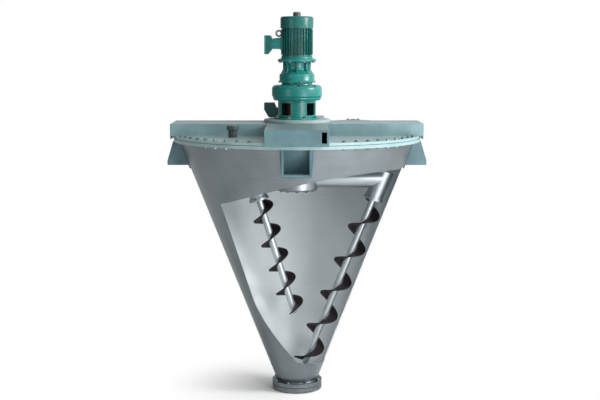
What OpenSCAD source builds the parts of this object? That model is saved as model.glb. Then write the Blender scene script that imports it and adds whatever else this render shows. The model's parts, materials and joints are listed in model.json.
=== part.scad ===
// Conical twin-screw mixer, about one cubic metre, shown with the front of its cone cut away.
// The origin lies on the vessel axis, in the underside plane of the four support lugs.
// +Z is up, +X runs along the long arm and the front of the machine faces -Y.

/* [Vessel] */
// Inner diameter of the cone at its top
vessel_d = 1500; // [1440:5:1560]
// Height of the cone from the outlet to the vessel flange
cone_h = 1592; // [1500:2:1700]
// Inner diameter of the cone at the outlet
outlet_d = 250; // [220:2:280]
// Wall thickness of the cone
wall_t = 8; // [6:0.5:10]
// How far the vessel flange reaches out past the bore of the cone
flange_reach = 47; // [42:1:54]
// Thickness of the vessel flange
flange_t = 20; // [14:1:26]
// Thickness of the gasket under the cover
gasket_t = 3; // [2:0.5:5]
// Thickness of the cover plate
cover_t = 16; // [12:1:22]
// Thread diameter of the cover bolts
cover_bolt_d = 12; // [8:1:14]

/* [Beams and lugs] */
// Height of the cross beams on the cover
beam_h = 78; // [70:1:90]
// Width of the cross beams
beam_w = 380; // [372:2:400]
// Plate thickness of the cross beams
beam_t = 8; // [6:1:10]
// Height from the lug base to the vessel flange
lug_h = 155; // [130:1:180]
// Width of a lug across its gussets
lug_w = 176; // [150:2:200]
// How far the foot of a lug reaches out past the vessel flange
lug_reach = 38; // [28:1:63]
// Thickness of the base plate and the gussets of a lug
lug_t = 12; // [8:1:16]
// Diameter of the hole in a lug
lug_hole_d = 26; // [18:1:30]
// Circle through the holes of the four lugs
lug_pcd = 1550; // [1540:2:1570]

/* [Outlet] */
// Outer diameter of the outlet flanges
outlet_flange_d = 328; // [320:2:350]
// Thickness of each outlet flange
outlet_flange_t = 26; // [18:1:30]
// Bolt circle of the outlet flanges
outlet_pcd = 298; // [294:1:300]
// Diameter of the holes in the outlet flanges
outlet_hole_d = 14; // [12:1:16]

/* [Cover fittings] */
// Outer diameter of the manhole neck
manhole_d = 280; // [240:2:300]
// Height of the manhole neck
manhole_h = 50; // [40:1:70]
// Outer diameter of the spray nozzle neck
nozzle_d = 56; // [40:1:60]
// Height of the spray nozzle with its cap
nozzle_h = 74; // [60:1:90]

/* [Main drive] */
// Thickness of the round base plate of the drive
base_t = 20; // [14:1:24]
// Diameter of the round base plate of the drive
base_d = 428; // [410:2:440]
// Diameter of the lantern column
column_d = 246; // [236:2:256]
// Height of the lantern column
column_h = 122; // [110:1:140]
// Diameter of the reducer ring
ring_d = 324; // [310:2:340]
// Height of the reducer ring
ring_h = 98; // [84:1:110]
// Diameter of the motor over its fins
motor_d = 206; // [196:2:216]
// Length of the finned motor frame
motor_h = 193; // [160:1:230]
// Height of the fan cowl
cowl_h = 65; // [56:1:80]
// Number of cooling fins on the motor
fin_n = 32; // [20:2:40]

/* [Slewing drive] */
// Distance between the axes of the slewing wheel and its pinion
slew_centre = 220; // [212:1:224]
// Teeth on the slewing wheel
wheel_n = 66; // [66]
// Teeth on the slewing pinion
pinion_n = 22; // [22]
// Diameter of the slewing motor
slew_motor_d = 112; // [100:2:114]

/* [Arms] */
// Depth of the arm axis below the vessel flange
arm_drop = 250; // [235:1:270]
// Outer diameter of the arms
arm_d = 120; // [114:1:126]
// Wall thickness of the arms
arm_t = 12; // [8:0.5:12]
// Diameter of the hub case
hub_d = 274; // [260:2:290]
// Height of the hub case
hub_h = 156; // [150:1:170]
// Distance of the short arm's knuckle from the vessel axis
short_reach = 290; // [275:1:300]

/* [Screws] */
// Diameter of the long screw over its flight
long_d = 172; // [150:1:176]
// Pitch of the long screw
long_pitch = 240; // [200:2:280]
// Diameter of the short screw over its flight
short_d = 160; // [140:1:166]
// Pitch of the short screw
short_pitch = 168; // [140:1:200]
// Diameter of the screw shafts
shaft_d = 44; // [36:1:50]
// Thickness of the flights
flight_t = 9; // [6:0.5:12]

/* [Hidden] */

// Cuts run this far past the face that they leave
over = 1;
// Running clearance between a shaft and its seat
run_gap = 0.3;
// Faces that round parts are drawn with
$fn = 96;

// Levels, upwards from the lug base plane
flange_z = lug_h;
gasket_z = flange_z + flange_t;
cover_z = gasket_z + gasket_t;
lid_z = cover_z + cover_t;
beam_top_z = lid_z + beam_h;
base_top_z = beam_top_z + base_t;
column_top_z = base_top_z + column_h;
ring_top_z = column_top_z + ring_h;

// Cone
vessel_r = vessel_d / 2;
outlet_r = outlet_d / 2;
cone_z = flange_z - cone_h;
cone_slope = (vessel_r - outlet_r) / cone_h;
cone_a = atan(cone_slope);
wall_x = wall_t / cos(cone_a);
flange_r = vessel_r + flange_reach;
function cone_r(z) = outlet_r + (z - cone_z) * cone_slope;

module tube(r_out, r_in, z, h) {
  translate([0, 0, z]) difference() {
    cylinder(r = r_out, h = h);
    translate([0, 0, -over]) cylinder(r = r_in, h = h + 2 * over);
  }
}

module around(r, n, start = 0) {
  for (i = [0 : n - 1]) rotate(start + i * 360 / n) translate([r, 0, 0]) children();
}

// A bolt whose head hangs below z = 0, with a shank of grip length and a nut on top
nut_share = 0.8;
head_share = 0.65;
af_share = 1.7;
module through_bolt(d, grip) {
  hex_r = d * af_share / sqrt(3);
  translate([0, 0, -d * head_share]) cylinder(r = hex_r, h = d * head_share, $fn = 6);
  cylinder(d = d, h = grip + d, $fn = 24);
  translate([0, 0, grip]) cylinder(r = hex_r, h = d * nut_share, $fn = 6);
}

// A bolt that stands on z = 0 with only its head
module bolt_head(d) {
  cylinder(r = d * af_share / sqrt(3), h = d * head_share, $fn = 6);
}

// Window in the cone: shares of the cone's height, downwards, and of its outer radius
window_side_share = 0.77;
window_corner_share = 0.232;
window_bend_share = 0.631;
window_tip_share = 0.902;
window_exit_share = 0.914;
window_crest_share = 0.06;
window_crest_side_share = 0.31;
window_right_share = 0.113;
window_belly_share = 0.72;
window_back_share = 0.13;
window_steps = 10;
function window_z(share) = flange_z - share * cone_h;
function outer_r(z) = cone_r(z) + wall_x;
function curve(a, b, c, t) = a * (1 - t) * (1 - t) + b * 2 * t * (1 - t) + c * t * t;
function window_outline() =
  let (
    corner_z = window_z(window_corner_share),
    bend_z = window_z(window_bend_share),
    belly_z = window_z(window_belly_share),
    tip_z = window_z(window_tip_share),
    exit_z = window_z(window_exit_share),
    right_z = window_z(window_right_share),
    corner = [-window_side_share * outer_r(corner_z), corner_z],
    bend = [-window_side_share * outer_r(bend_z), bend_z],
    belly = [-window_side_share * outer_r(belly_z), belly_z],
    tip = [0, tip_z],
    crest = [window_crest_side_share * flange_r, window_z(window_crest_share)],
    right = [flange_r, right_z]
  )
  concat(
    [for (i = [0 : window_steps]) curve(corner, crest, right, i / window_steps)],
    [[flange_r, exit_z], [outlet_r, exit_z]],
    [for (i = [0 : window_steps]) curve(tip, belly, bend, i / window_steps)]
  );

module window_cutter() {
  intersection() {
    rotate([90, 0, 0]) linear_extrude(height = flange_r) polygon(window_outline());
    rotate([90, 0, 90]) linear_extrude(height = 4 * flange_r, center = true) polygon([
      [-window_back_share * outer_r(flange_z), flange_z],
      [-window_back_share * outer_r(cone_z), cone_z],
      [-flange_r, cone_z],
      [-flange_r, flange_z]
    ]);
  }
}

module cone_shell() {
  color("#8b9194") difference() {
    rotate_extrude() polygon([
      [outlet_r, cone_z],
      [outlet_r + wall_x, cone_z],
      [vessel_r + wall_x, flange_z],
      [vessel_r, flange_z]
    ]);
    window_cutter();
  }
}

// Cover bolts stand on one circle and leave out the places that the beams cover
cover_bolt_n = 60;
cover_bolt_r = flange_r - flange_reach * 0.42;
cover_hole_d = cover_bolt_d + 2 * over;
cover_bolt_room = beam_w / 2 + cover_bolt_d * af_share;
cover_bolt_turns = [
  for (i = [0 : cover_bolt_n - 1])
    let (a = (i + 0.5) * 360 / cover_bolt_n)
      if (cover_bolt_r * abs(cos(a)) > cover_bolt_room && cover_bolt_r * abs(sin(a)) > cover_bolt_room) a
];

module cover_bolt_places() {
  for (a = cover_bolt_turns) rotate(a) translate([cover_bolt_r, 0, 0]) children();
}

module cover_holes(z, h) {
  cover_bolt_places() translate([0, 0, z - over]) cylinder(d = cover_hole_d, h = h + 2 * over, $fn = 24);
}

module vessel_flange() {
  color("#7f9a9d") difference() {
    tube(flange_r, vessel_r, flange_z, flange_t);
    cover_holes(flange_z, flange_t);
  }
}

module cover_gasket() {
  color("#d8d4c6") difference() {
    tube(flange_r, vessel_r, gasket_z, gasket_t);
    cover_holes(gasket_z, gasket_t);
  }
}

// Cover fittings stand between the beams
manhole_x = 390;
manhole_y = 400;
manhole_t = 6;
manhole_r = manhole_d / 2;
manhole_place = [manhole_x, manhole_y, 0];
nozzle_x = -400;
nozzle_y = -300;
nozzle_t = 5;
nozzle_r = nozzle_d / 2;
nozzle_place = [nozzle_x, nozzle_y, 0];

// Bearing sleeve that hangs through the cover
sleeve_r = 100;
sleeve_t = 18;
sleeve_flange_r = 150;
sleeve_flange_t = 12;
sleeve_drop = 138;
sleeve_z = cover_z - sleeve_drop;

module cover_plate() {
  color("#8fa7a8") difference() {
    translate([0, 0, cover_z]) cylinder(r = flange_r, h = cover_t);
    cover_holes(cover_z, cover_t);
    translate([0, 0, cover_z - over]) cylinder(r = sleeve_r, h = cover_t + 2 * over);
    translate(manhole_place + [0, 0, cover_z - over])
      cylinder(r = manhole_r - manhole_t, h = cover_t + 2 * over);
    translate(nozzle_place + [0, 0, cover_z - over])
      cylinder(r = nozzle_r - nozzle_t, h = cover_t + 2 * over, $fn = 32);
  }
}

module cover_bolts() {
  color("#4c5354") cover_bolt_places() translate([0, 0, flange_z])
    through_bolt(cover_bolt_d, flange_t + gasket_t + cover_t);
}

// Cross beams: channels that lie open side down on the cover, closed by end plates
beam_half = beam_w / 2;
beam_in = beam_half - beam_t;
skirt_drop = 20;
skirt_z = lid_z - skirt_drop;
slot_w = 30;
slot_edge = 6;
gear_gap = 4;

// Slewing gears
slew_m = 2 * slew_centre / (wheel_n + pinion_n);
slew_turn = 104.5;
slew_place = [slew_centre * cos(slew_turn), slew_centre * sin(slew_turn), 0];
tip_share = 0.9;
root_share = 1.2;
pinion_r = pinion_n * slew_m / 2;
pinion_tip_r = pinion_r + tip_share * slew_m;
wheel_tip_r = wheel_n * slew_m / 2 + tip_share * slew_m;
case_t = 6;
pinion_room_r = pinion_tip_r + gear_gap;
beam_hole_r = 80;
slew_hole_r = 30;

module beam_end(length) {
  translate([length, -beam_half, skirt_z]) cube([beam_t, beam_w, beam_top_z - skirt_z]);
}

module main_beam() {
  color("#6f8f93") {
    difference() {
      translate([-flange_r, -beam_half, lid_z]) cube([2 * flange_r, beam_w, beam_h]);
      translate([-flange_r - over, -beam_in, lid_z - over])
        cube([2 * (flange_r + over), 2 * beam_in, beam_h - beam_t + over]);
      translate([-beam_in, -beam_half - over, lid_z - over])
        cube([2 * beam_in, beam_w + 2 * over, beam_h - beam_t + over]);
      translate([0, 0, lid_z]) cylinder(r = beam_hole_r, h = beam_h + over);
      translate(slew_place + [0, 0, lid_z]) cylinder(r = slew_hole_r, h = beam_h + over, $fn = 48);
    }
    beam_end(flange_r);
    mirror([1, 0, 0]) beam_end(flange_r);
  }
}

// A beam that runs out along +X from the main beam's side
module side_beam() {
  difference() {
    translate([beam_half, -beam_half, lid_z]) cube([flange_r - beam_half, beam_w, beam_h]);
    translate([beam_half - over, -beam_in, lid_z - over])
      cube([flange_r - beam_half + 2 * over, 2 * beam_in, beam_h - beam_t + over]);
  }
  beam_end(flange_r);
}

module front_beam() {
  color("#7f9b9d") rotate(-90) difference() {
    side_beam();
    translate([flange_r - over, beam_in - slot_edge - slot_w, lid_z])
      cube([beam_t + 2 * over, slot_w, beam_h - beam_t - slot_edge]);
  }
}

module back_beam() {
  color("#6f8f93") difference() {
    rotate(90) side_beam();
    translate(slew_place + [0, 0, lid_z]) cylinder(r = slew_hole_r, h = beam_h + over, $fn = 48);
  }
}

// Lugs: a pad on the cone, two gussets and a base plate with one hole
pad_t = 8;
pad_over = 12;
pad_drop = 22;
lug_toe = 18;
lug_out_r = flange_r + lug_reach;
lug_hole_r = lug_pcd / 2;
pad_turn = atan((lug_w / 2 + pad_over) / vessel_r);

module lug() {
  color("#5f7f83") difference() {
    union() {
      rotate([0, 0, -pad_turn]) rotate_extrude(angle = 2 * pad_turn) polygon([
        [outer_r(-pad_drop) - over, -pad_drop],
        [outer_r(-pad_drop) + pad_t, -pad_drop],
        [outer_r(flange_z) + pad_t, flange_z],
        [outer_r(flange_z) - over, flange_z]
      ]);
      for (side = [-1, 1])
        translate([0, side * (lug_w - lug_t) / 2 + lug_t / 2, 0])
          rotate([90, 0, 0]) linear_extrude(height = lug_t) polygon([
            [outer_r(0) - wall_t, 0],
            [lug_out_r, 0],
            [lug_out_r, lug_t + lug_toe],
            [flange_r, flange_z],
            [outer_r(flange_z) - wall_t, flange_z]
          ]);
      translate([outer_r(0) - wall_t, -lug_w / 2, 0]) cube([lug_out_r - outer_r(0) + wall_t, lug_w, lug_t]);
    }
    rotate_extrude() polygon([
      [0, cone_z],
      [outlet_r + wall_x, cone_z],
      [vessel_r + wall_x, flange_z],
      [vessel_r + wall_x + over * cone_slope, flange_z + over],
      [0, flange_z + over]
    ]);
    translate([lug_hole_r, 0, -over]) cylinder(d = lug_hole_d, h = lug_t + 2 * over, $fn = 32);
  }
}

module lug_left() { rotate(180) lug(); }
module lug_right() { lug(); }
module lug_front() { rotate(-90) lug(); }
module lug_back() { rotate(90) lug(); }

// Outlet: a welded flange, a gasket and a loose counter flange for the discharge valve
outlet_bolt_n = 8;
outlet_bolt_share = 0.86;
outlet_gasket_z = cone_z - outlet_flange_t - gasket_t;
outlet_ring_z = outlet_gasket_z - outlet_flange_t;
outlet_out_r = outlet_flange_d / 2;
outlet_hole_turn = 180 / outlet_bolt_n;

module outlet_holes(z, h, d = outlet_hole_d, turn = outlet_hole_turn) {
  around(outlet_pcd / 2, outlet_bolt_n, turn)
    translate([0, 0, z - over]) cylinder(d = d, h = h + 2 * over, $fn = 24);
}

module outlet_flange() {
  color("#4a5053") difference() {
    tube(outlet_out_r, outlet_r, cone_z - outlet_flange_t, outlet_flange_t);
    outlet_holes(cone_z - outlet_flange_t, outlet_flange_t);
  }
}

module outlet_gasket() {
  color("#2c2c2c") difference() {
    tube(outlet_out_r - gasket_t, outlet_r, outlet_gasket_z, gasket_t);
    outlet_holes(outlet_gasket_z, gasket_t);
  }
}

module outlet_ring() {
  color("#404547") difference() {
    tube(outlet_out_r, outlet_r, outlet_ring_z, outlet_flange_t);
    outlet_holes(outlet_ring_z, outlet_flange_t);
    outlet_holes(outlet_ring_z, outlet_flange_t, outlet_hole_d * outlet_bolt_share, 0);
  }
}

module outlet_bolts() {
  color("#5b6163") around(outlet_pcd / 2, outlet_bolt_n, outlet_hole_turn)
    translate([0, 0, outlet_ring_z])
      through_bolt(outlet_hole_d * outlet_bolt_share, 2 * outlet_flange_t + gasket_t);
}

// Spray nozzle: a short neck with a screwed cap
cap_grip = 10;
cap_h = nozzle_h * 0.38;
cap_edge = 4;
neck_h = nozzle_h - cap_h;

module spray_neck() {
  color("#3f4a4a") translate(nozzle_place) tube(nozzle_r, nozzle_r - nozzle_t, lid_z, neck_h);
}

module spray_cap() {
  color("#2f3737") translate(nozzle_place + [0, 0, lid_z + neck_h]) rotate_extrude() polygon([
    [0, 0],
    [nozzle_r + cap_grip, 0],
    [nozzle_r + cap_grip, cap_h - cap_edge],
    [nozzle_r + cap_grip - cap_edge, cap_h],
    [0, cap_h]
  ]);
}

// Manhole: neck, gasket and a hinged cover that lifts about a pin behind it
manhole_lip = 12;
manhole_lip_t = 10;
manhole_cover_t = 8;
manhole_crown = 6;
hinge_r = 6;
hinge_wall = 6;
hinge_back = manhole_r + manhole_lip + hinge_r + hinge_wall + manhole_crown;
hinge_w = 26;
hinge_ear_w = 12;
hinge_span = 70;
manhole_gasket_z = lid_z + manhole_h;
manhole_cover_z = manhole_gasket_z + gasket_t;
hinge_z = manhole_cover_z + manhole_cover_t / 2;
handle_reach = 30;
handle_w = 100;
handle_bar = 10;

module manhole_neck() {
  color("#71868a") translate(manhole_place) difference() {
    union() {
      translate([0, 0, lid_z]) cylinder(r = manhole_r, h = manhole_h);
      translate([0, 0, manhole_gasket_z - manhole_lip_t]) cylinder(r = manhole_r + manhole_lip, h = manhole_lip_t);
      for (side = [-1, 1]) translate([side * hinge_span / 2 - hinge_ear_w / 2, 0, 0]) {
        translate([0, manhole_r - manhole_t / 2, manhole_gasket_z - manhole_lip_t])
          cube([hinge_ear_w, hinge_back - manhole_r + manhole_t / 2 + hinge_r + hinge_wall, manhole_lip_t]);
        translate([0, hinge_back - hinge_r - hinge_wall, manhole_gasket_z - manhole_lip_t])
          cube([hinge_ear_w, 2 * (hinge_r + hinge_wall), hinge_z - manhole_gasket_z + manhole_lip_t]);
        translate([0, hinge_back, hinge_z]) rotate([0, 90, 0])
          cylinder(r = hinge_r + hinge_wall, h = hinge_ear_w, $fn = 32);
      }
    }
    translate([0, 0, lid_z - over]) cylinder(r = manhole_r - manhole_t, h = manhole_h + 2 * over);
    translate([-hinge_span, hinge_back, hinge_z]) rotate([0, 90, 0])
      cylinder(r = hinge_r, h = 2 * hinge_span, $fn = 32);
  }
}

module manhole_gasket() {
  color("#1f2223") translate(manhole_place)
    tube(manhole_r + manhole_lip - gasket_t, manhole_r - manhole_t, manhole_gasket_z, gasket_t - run_gap);
}

module manhole_cover() {
  color("#5c686b") translate(manhole_place) {
    difference() {
      union() {
        translate([0, 0, manhole_cover_z]) rotate_extrude() polygon([
          [0, 0],
          [manhole_r + manhole_lip, 0],
          [manhole_r + manhole_lip, manhole_cover_t],
          [manhole_r - manhole_t, manhole_cover_t],
          [manhole_r / 2, manhole_cover_t + manhole_crown],
          [0, manhole_cover_t + manhole_crown]
        ]);
        translate([-hinge_w / 2, 0, manhole_cover_z]) translate([0, manhole_r, 0])
          cube([hinge_w, hinge_back - manhole_r, manhole_cover_t]);
        translate([-hinge_w / 2, hinge_back, hinge_z]) rotate([0, 90, 0])
          cylinder(r = hinge_r + hinge_wall - gasket_t, h = hinge_w, $fn = 32);
      }
      translate([-hinge_span, hinge_back, hinge_z]) rotate([0, 90, 0])
        cylinder(r = hinge_r + run_gap, h = 2 * hinge_span, $fn = 32);
    }
    translate([0, -manhole_r - manhole_lip / 2, manhole_cover_z]) difference() {
      translate([-handle_w / 2, -handle_reach, 0]) cube([handle_w, handle_reach + manhole_lip / 4, manhole_cover_t]);
      translate([-handle_w / 2 + handle_bar, -handle_reach + handle_bar, -over])
        cube([handle_w - 2 * handle_bar, handle_reach + manhole_lip, manhole_cover_t + 2 * over]);
    }
  }
}

module manhole_pin() {
  color("#9aa1a3") translate(manhole_place + [-hinge_span / 2 - hinge_ear_w, hinge_back, hinge_z])
    rotate([0, 90, 0]) cylinder(r = hinge_r, h = hinge_span + 2 * hinge_ear_w, $fn = 32);
}

// Round base plate of the drive, with an ear under the slewing motor
slew_motor_r = slew_motor_d / 2;
base_ear = 24;
base_r = base_d / 2;
column_r = column_d / 2;
column_t = 10;
column_foot = 24;
column_foot_t = 12;
shaft_hole_r = 60;
base_bolt_d = 12;
base_bolt_n = 8;
base_bolt_turn = 22.5;
base_bolt_r = column_r + column_foot / 2;
ear_r = slew_motor_r + base_ear;

module drive_base() {
  color("#a3adac") difference() {
    union() {
      translate([0, 0, beam_top_z]) cylinder(r = base_r, h = base_t);
      translate(slew_place + [0, 0, beam_top_z]) cylinder(r = ear_r, h = base_t);
    }
    translate([0, 0, beam_top_z - over]) cylinder(r = shaft_hole_r, h = base_t + 2 * over);
    translate(slew_place + [0, 0, beam_top_z - over]) cylinder(r = slew_hole_r, h = base_t + 2 * over, $fn = 48);
  }
}

// Lantern column: a tube with four windows between two flanges
lantern_n = 4;
lantern_turn = -39;
lantern_angle = 40;
lantern_sill = 16;
module drive_column() {
  color("#237a70") translate([0, 0, base_top_z]) difference() {
    union() {
      cylinder(r = column_r, h = column_h);
      cylinder(r = column_r + column_foot, h = column_foot_t);
    }
    translate([0, 0, -over]) cylinder(r = column_r - column_t, h = column_h + 2 * over);
    for (i = [0 : lantern_n - 1])
      rotate(lantern_turn + i * 360 / lantern_n - lantern_angle / 2)
        translate([0, 0, column_foot_t + lantern_sill])
          rotate_extrude(angle = lantern_angle) translate([column_r / 2, 0])
            square([column_r, column_h - column_foot_t - 2 * lantern_sill]);
  }
}

// Reducer: a thick ring case with lips, waist and a bell that carries the motor
ring_r = ring_d / 2;
ring_lip = 7;
ring_lip_t = 20;
ring_edge = 6;
output_r = 24;
output_depth = 30;
waist_r = 100;
waist_h = 16;
ring_bolt_d = 14;
ring_bolt_n = 8;
ring_bolt_r = ring_r - ring_bolt_d - ring_edge;

module reducer_ring() {
  color("#2f9088") difference() {
    translate([0, 0, column_top_z]) rotate_extrude() polygon([
      [0, 0],
      [ring_r - ring_lip - ring_edge, 0],
      [ring_r - ring_lip, ring_edge],
      [ring_r - ring_lip, ring_lip_t],
      [ring_r, ring_lip_t + ring_edge],
      [ring_r, ring_h - ring_edge],
      [ring_r - ring_edge, ring_h],
      [waist_r, ring_h],
      [waist_r, ring_h + waist_h],
      [0, ring_h + waist_h]
    ]);
    translate([0, 0, column_top_z - over]) cylinder(r = output_r + run_gap, h = output_depth + over, $fn = 48);
  }
}

bell_z = ring_top_z + waist_h;
bell_r = 113;
bell_skirt = 58;
bell_cone = 18;
bell_lip = 8;
neck_r = 85;
motor_neck_h = 58;
neck_rib_n = 8;
neck_rib_t = 8;
motor_flange_z = bell_z + bell_skirt + bell_cone + motor_neck_h;
bell_bore_r = 40;
module reducer_bell() {
  color("#2f8d84") {
    difference() {
      translate([0, 0, bell_z]) rotate_extrude() polygon([
        [0, 0],
        [bell_r + bell_lip, 0],
        [bell_r + bell_lip, bell_lip],
        [bell_r, 2 * bell_lip],
        [bell_r, bell_skirt],
        [neck_r, bell_skirt + bell_cone],
        [neck_r, motor_flange_z - bell_z],
        [0, motor_flange_z - bell_z]
      ]);
      translate([0, 0, bell_z + bell_skirt]) cylinder(r = bell_bore_r, h = motor_flange_z, $fn = 48);
    }
    around(neck_r - over, neck_rib_n, 0)
      translate([0, -neck_rib_t / 2, bell_z + bell_skirt + bell_cone / 2])
        cube([neck_rib_t, neck_rib_t, bell_cone / 2 + motor_neck_h]);
  }
}

// Motor: flange, finned frame, stator, rotor, fan and cowl
motor_flange_r = 124;
motor_flange_t = 29;
motor_r = motor_d / 2;
fin_h = 11;
fin_t = 3.4;
frame_t = 9;
motor_shaft_r = 15;
stator_t = 30;
rotor_gap = 1;
motor_z = motor_flange_z + motor_flange_t;
cowl_z = motor_z + motor_h;
shield_t = 12;
core_r = motor_r - fin_h;
stator_out_r = core_r - frame_t;
rotor_r = stator_out_r - stator_t - rotor_gap;
stator_lift = 26;
stator_h = motor_h - 2 * stator_lift;
flange_bolt_d = 12;
flange_bolt_n = 8;
flange_bolt_r = motor_flange_r - flange_bolt_d;

module motor_flange() {
  color("#3f8f88") difference() {
    translate([0, 0, motor_flange_z]) rotate_extrude() polygon([
      [0, 0],
      [motor_flange_r, 0],
      [motor_flange_r, motor_flange_t / 2],
      [motor_r, motor_flange_t * 0.7],
      [motor_r, motor_flange_t],
      [0, motor_flange_t]
    ]);
    translate([0, 0, motor_flange_z - over])
      cylinder(r = motor_shaft_r + run_gap, h = motor_flange_t + 2 * over, $fn = 48);
  }
}

module drive_bolts() {
  color("#7f8f8c") {
    around(base_bolt_r, base_bolt_n, base_bolt_turn)
      translate([0, 0, base_top_z + column_foot_t]) bolt_head(base_bolt_d);
    around(ring_bolt_r, ring_bolt_n, 0)
      translate([0, 0, ring_top_z]) bolt_head(ring_bolt_d);
    around(flange_bolt_r, flange_bolt_n, 180 / flange_bolt_n)
      translate([0, 0, motor_flange_z]) mirror([0, 0, 1]) bolt_head(flange_bolt_d);
  }
}

// The frame has a flat boss on its left for the terminal box
box_neck_w = 84;
box_neck_lift = 44;
box_neck_z = motor_z + box_neck_lift;
boss_x = motor_r + fin_t;
module motor_frame() {
  color("#1b5a53") difference() {
    translate([0, 0, motor_z]) {
      linear_extrude(height = motor_h) union() {
        circle(r = core_r);
        for (i = [0 : fin_n - 1]) rotate((i + 0.5) * 360 / fin_n)
          translate([core_r - frame_t / 2, -fin_t / 2]) square([fin_h + frame_t / 2, fin_t]);
      }
      cylinder(r = motor_r - fin_t, h = shield_t);
      translate([0, 0, motor_h - shield_t]) cylinder(r = motor_r - fin_t, h = shield_t);
      translate([-boss_x, -box_neck_w / 2, box_neck_z - motor_z]) cube([boss_x - core_r / 2, box_neck_w, box_neck_w]);
    }
    translate([0, 0, motor_z - over]) cylinder(r = stator_out_r, h = motor_h - shield_t + over);
    translate([0, 0, motor_z]) cylinder(r = motor_shaft_r + run_gap, h = motor_h + over, $fn = 48);
  }
}

module motor_stator() {
  color("#8a5a3a") tube(stator_out_r, stator_out_r - stator_t, motor_z + stator_lift, stator_h);
}

fan_r = 82;
fan_n = 9;
fan_t = 4;
fan_h = 34;
fan_lift = 8;
shaft_tail = 46;
cowl_t = 3;
module motor_rotor() {
  color("#b5babc") {
    translate([0, 0, bell_z + bell_skirt + run_gap])
      cylinder(r = motor_shaft_r, h = cowl_z + shaft_tail - bell_z - bell_skirt, $fn = 48);
    translate([0, 0, motor_z + stator_lift]) cylinder(r = rotor_r, h = stator_h);
  }
}

module motor_fan() {
  color("#3a3f42") {
    tube(motor_shaft_r + fan_lift, motor_shaft_r, cowl_z + fan_lift, fan_h);
    tube(fan_r, motor_shaft_r + fan_lift - over, cowl_z + fan_lift, fan_t);
    around(motor_shaft_r + fan_lift - over, fan_n)
      translate([0, -fan_t / 2, cowl_z + fan_lift])
        cube([fan_r - motor_shaft_r - fan_lift, fan_t, fan_h]);
  }
}

cowl_r = motor_r + run_gap + cowl_t;
cowl_skirt = 10;
cowl_round = 14;
slot_n = 24;
slot_in_r = 34;
slot_out_r = 86;
vent_w = 5;
cowl_top_z = cowl_z + cowl_h;
function reversed(list) = [for (i = [len(list) - 1 : -1 : 0]) list[i]];
function round_corner(x, z, r) = [for (a = [0 : 15 : 90]) [x - r + r * cos(a), z - r + r * sin(a)]];
module fan_cowl() {
  color("#1d625a") difference() {
    translate([0, 0, cowl_z]) rotate_extrude() polygon(concat(
      [[cowl_r - cowl_t, -cowl_skirt], [cowl_r, -cowl_skirt]],
      round_corner(cowl_r, cowl_h, cowl_round),
      [[0, cowl_h], [0, cowl_h - cowl_t]],
      reversed(round_corner(cowl_r - cowl_t, cowl_h - cowl_t, cowl_round - cowl_t))
    ));
    around(slot_in_r, slot_n)
      translate([0, -vent_w / 2, cowl_top_z - cowl_t - over])
        cube([slot_out_r - slot_in_r, vent_w, cowl_t + 2 * over]);
  }
}

cap_r = 25;
cap_top = 29;
cap_bevel = 5;
module cowl_cap() {
  color("#5f6667") translate([0, 0, cowl_top_z]) rotate_extrude() polygon([
    [0, 0],
    [cap_r, 0],
    [cap_r, cap_top - cap_bevel],
    [cap_r - cap_bevel, cap_top],
    [0, cap_top]
  ]);
}

// Terminal box on the left of the motor: a neck with a box, and its lid
box_x = 157;
box_w = 116;
box_h = 120;
box_depth = 40;
lid_t = 12;
box_lift = 18;
box_z = motor_z + box_lift;
gland_r = 13;
gland_l = 24;
module terminal_box() {
  color("#277a70") {
    translate([-box_x, -box_neck_w / 2, box_neck_z]) cube([box_x - boss_x, box_neck_w, box_neck_w]);
    translate([-box_x - box_depth, -box_w / 2, box_z]) cube([box_depth, box_w, box_h]);
    for (side = [-1, 1])
      translate([-box_x - box_depth / 2, side * box_w / 4, box_z - gland_l])
        cylinder(r = gland_r, h = gland_l + over, $fn = 32);
  }
}

module terminal_lid() {
  color("#1f655d") translate([-box_x - box_depth - lid_t, -box_w / 2 - over, box_z - over])
    cube([lid_t, box_w + 2 * over, box_h + 2 * over]);
}

eye_r = 17;
eye_bar = 6;
eye_x = 116;
eye_z = box_neck_z + box_neck_w + eye_r + eye_bar;
module lifting_eye() {
  color("#2b3a38") {
    translate([-eye_x, 0, eye_z]) rotate([90, 0, 0]) rotate_extrude() translate([eye_r, 0]) circle(r = eye_bar, $fn = 24);
    translate([-eye_x, 0, box_neck_z + box_neck_w]) cylinder(r = eye_bar, h = 2 * eye_bar, $fn = 24);
  }
}

// Gear case under the beams' crossing: it holds the slewing wheel and pinion
case_top_z = beam_top_z - beam_t;
case_z = lid_z + sleeve_flange_t;
case_h = case_top_z - case_z;
wheel_w = 30;
wheel_z = case_z + case_t + gear_gap;
tube_r = 70;
tube_in_r = 52;
wheel_room_r = wheel_tip_r + gear_gap;

// Straight-flanked teeth, thin enough to run free
tooth_root_share = 0.25;
tooth_tip_share = 0.10;
function gear_outline(n, m, phase = 0) = [
  for (i = [0 : n - 1])
    for (corner = [[-tooth_root_share, -root_share], [-tooth_tip_share, tip_share],
                   [tooth_tip_share, tip_share], [tooth_root_share, -root_share]])
      let (a = (i + phase + corner[0]) * 360 / n, r = n * m / 2 + corner[1] * m)
        [r * cos(a), r * sin(a)]
];

module gear_case() {
  color("#4d5b5c") difference() {
    union() {
      translate([0, 0, case_z]) cylinder(r = wheel_room_r + case_t, h = case_h);
      translate(slew_place + [0, 0, case_z]) cylinder(r = pinion_room_r + case_t, h = case_h);
    }
    translate([0, 0, case_z + case_t]) cylinder(r = wheel_room_r, h = case_h);
    translate(slew_place + [0, 0, case_z + case_t]) cylinder(r = pinion_room_r, h = case_h);
    translate([0, 0, case_z - over]) cylinder(r = tube_r + gear_gap, h = case_t + 2 * over);
  }
}

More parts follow.
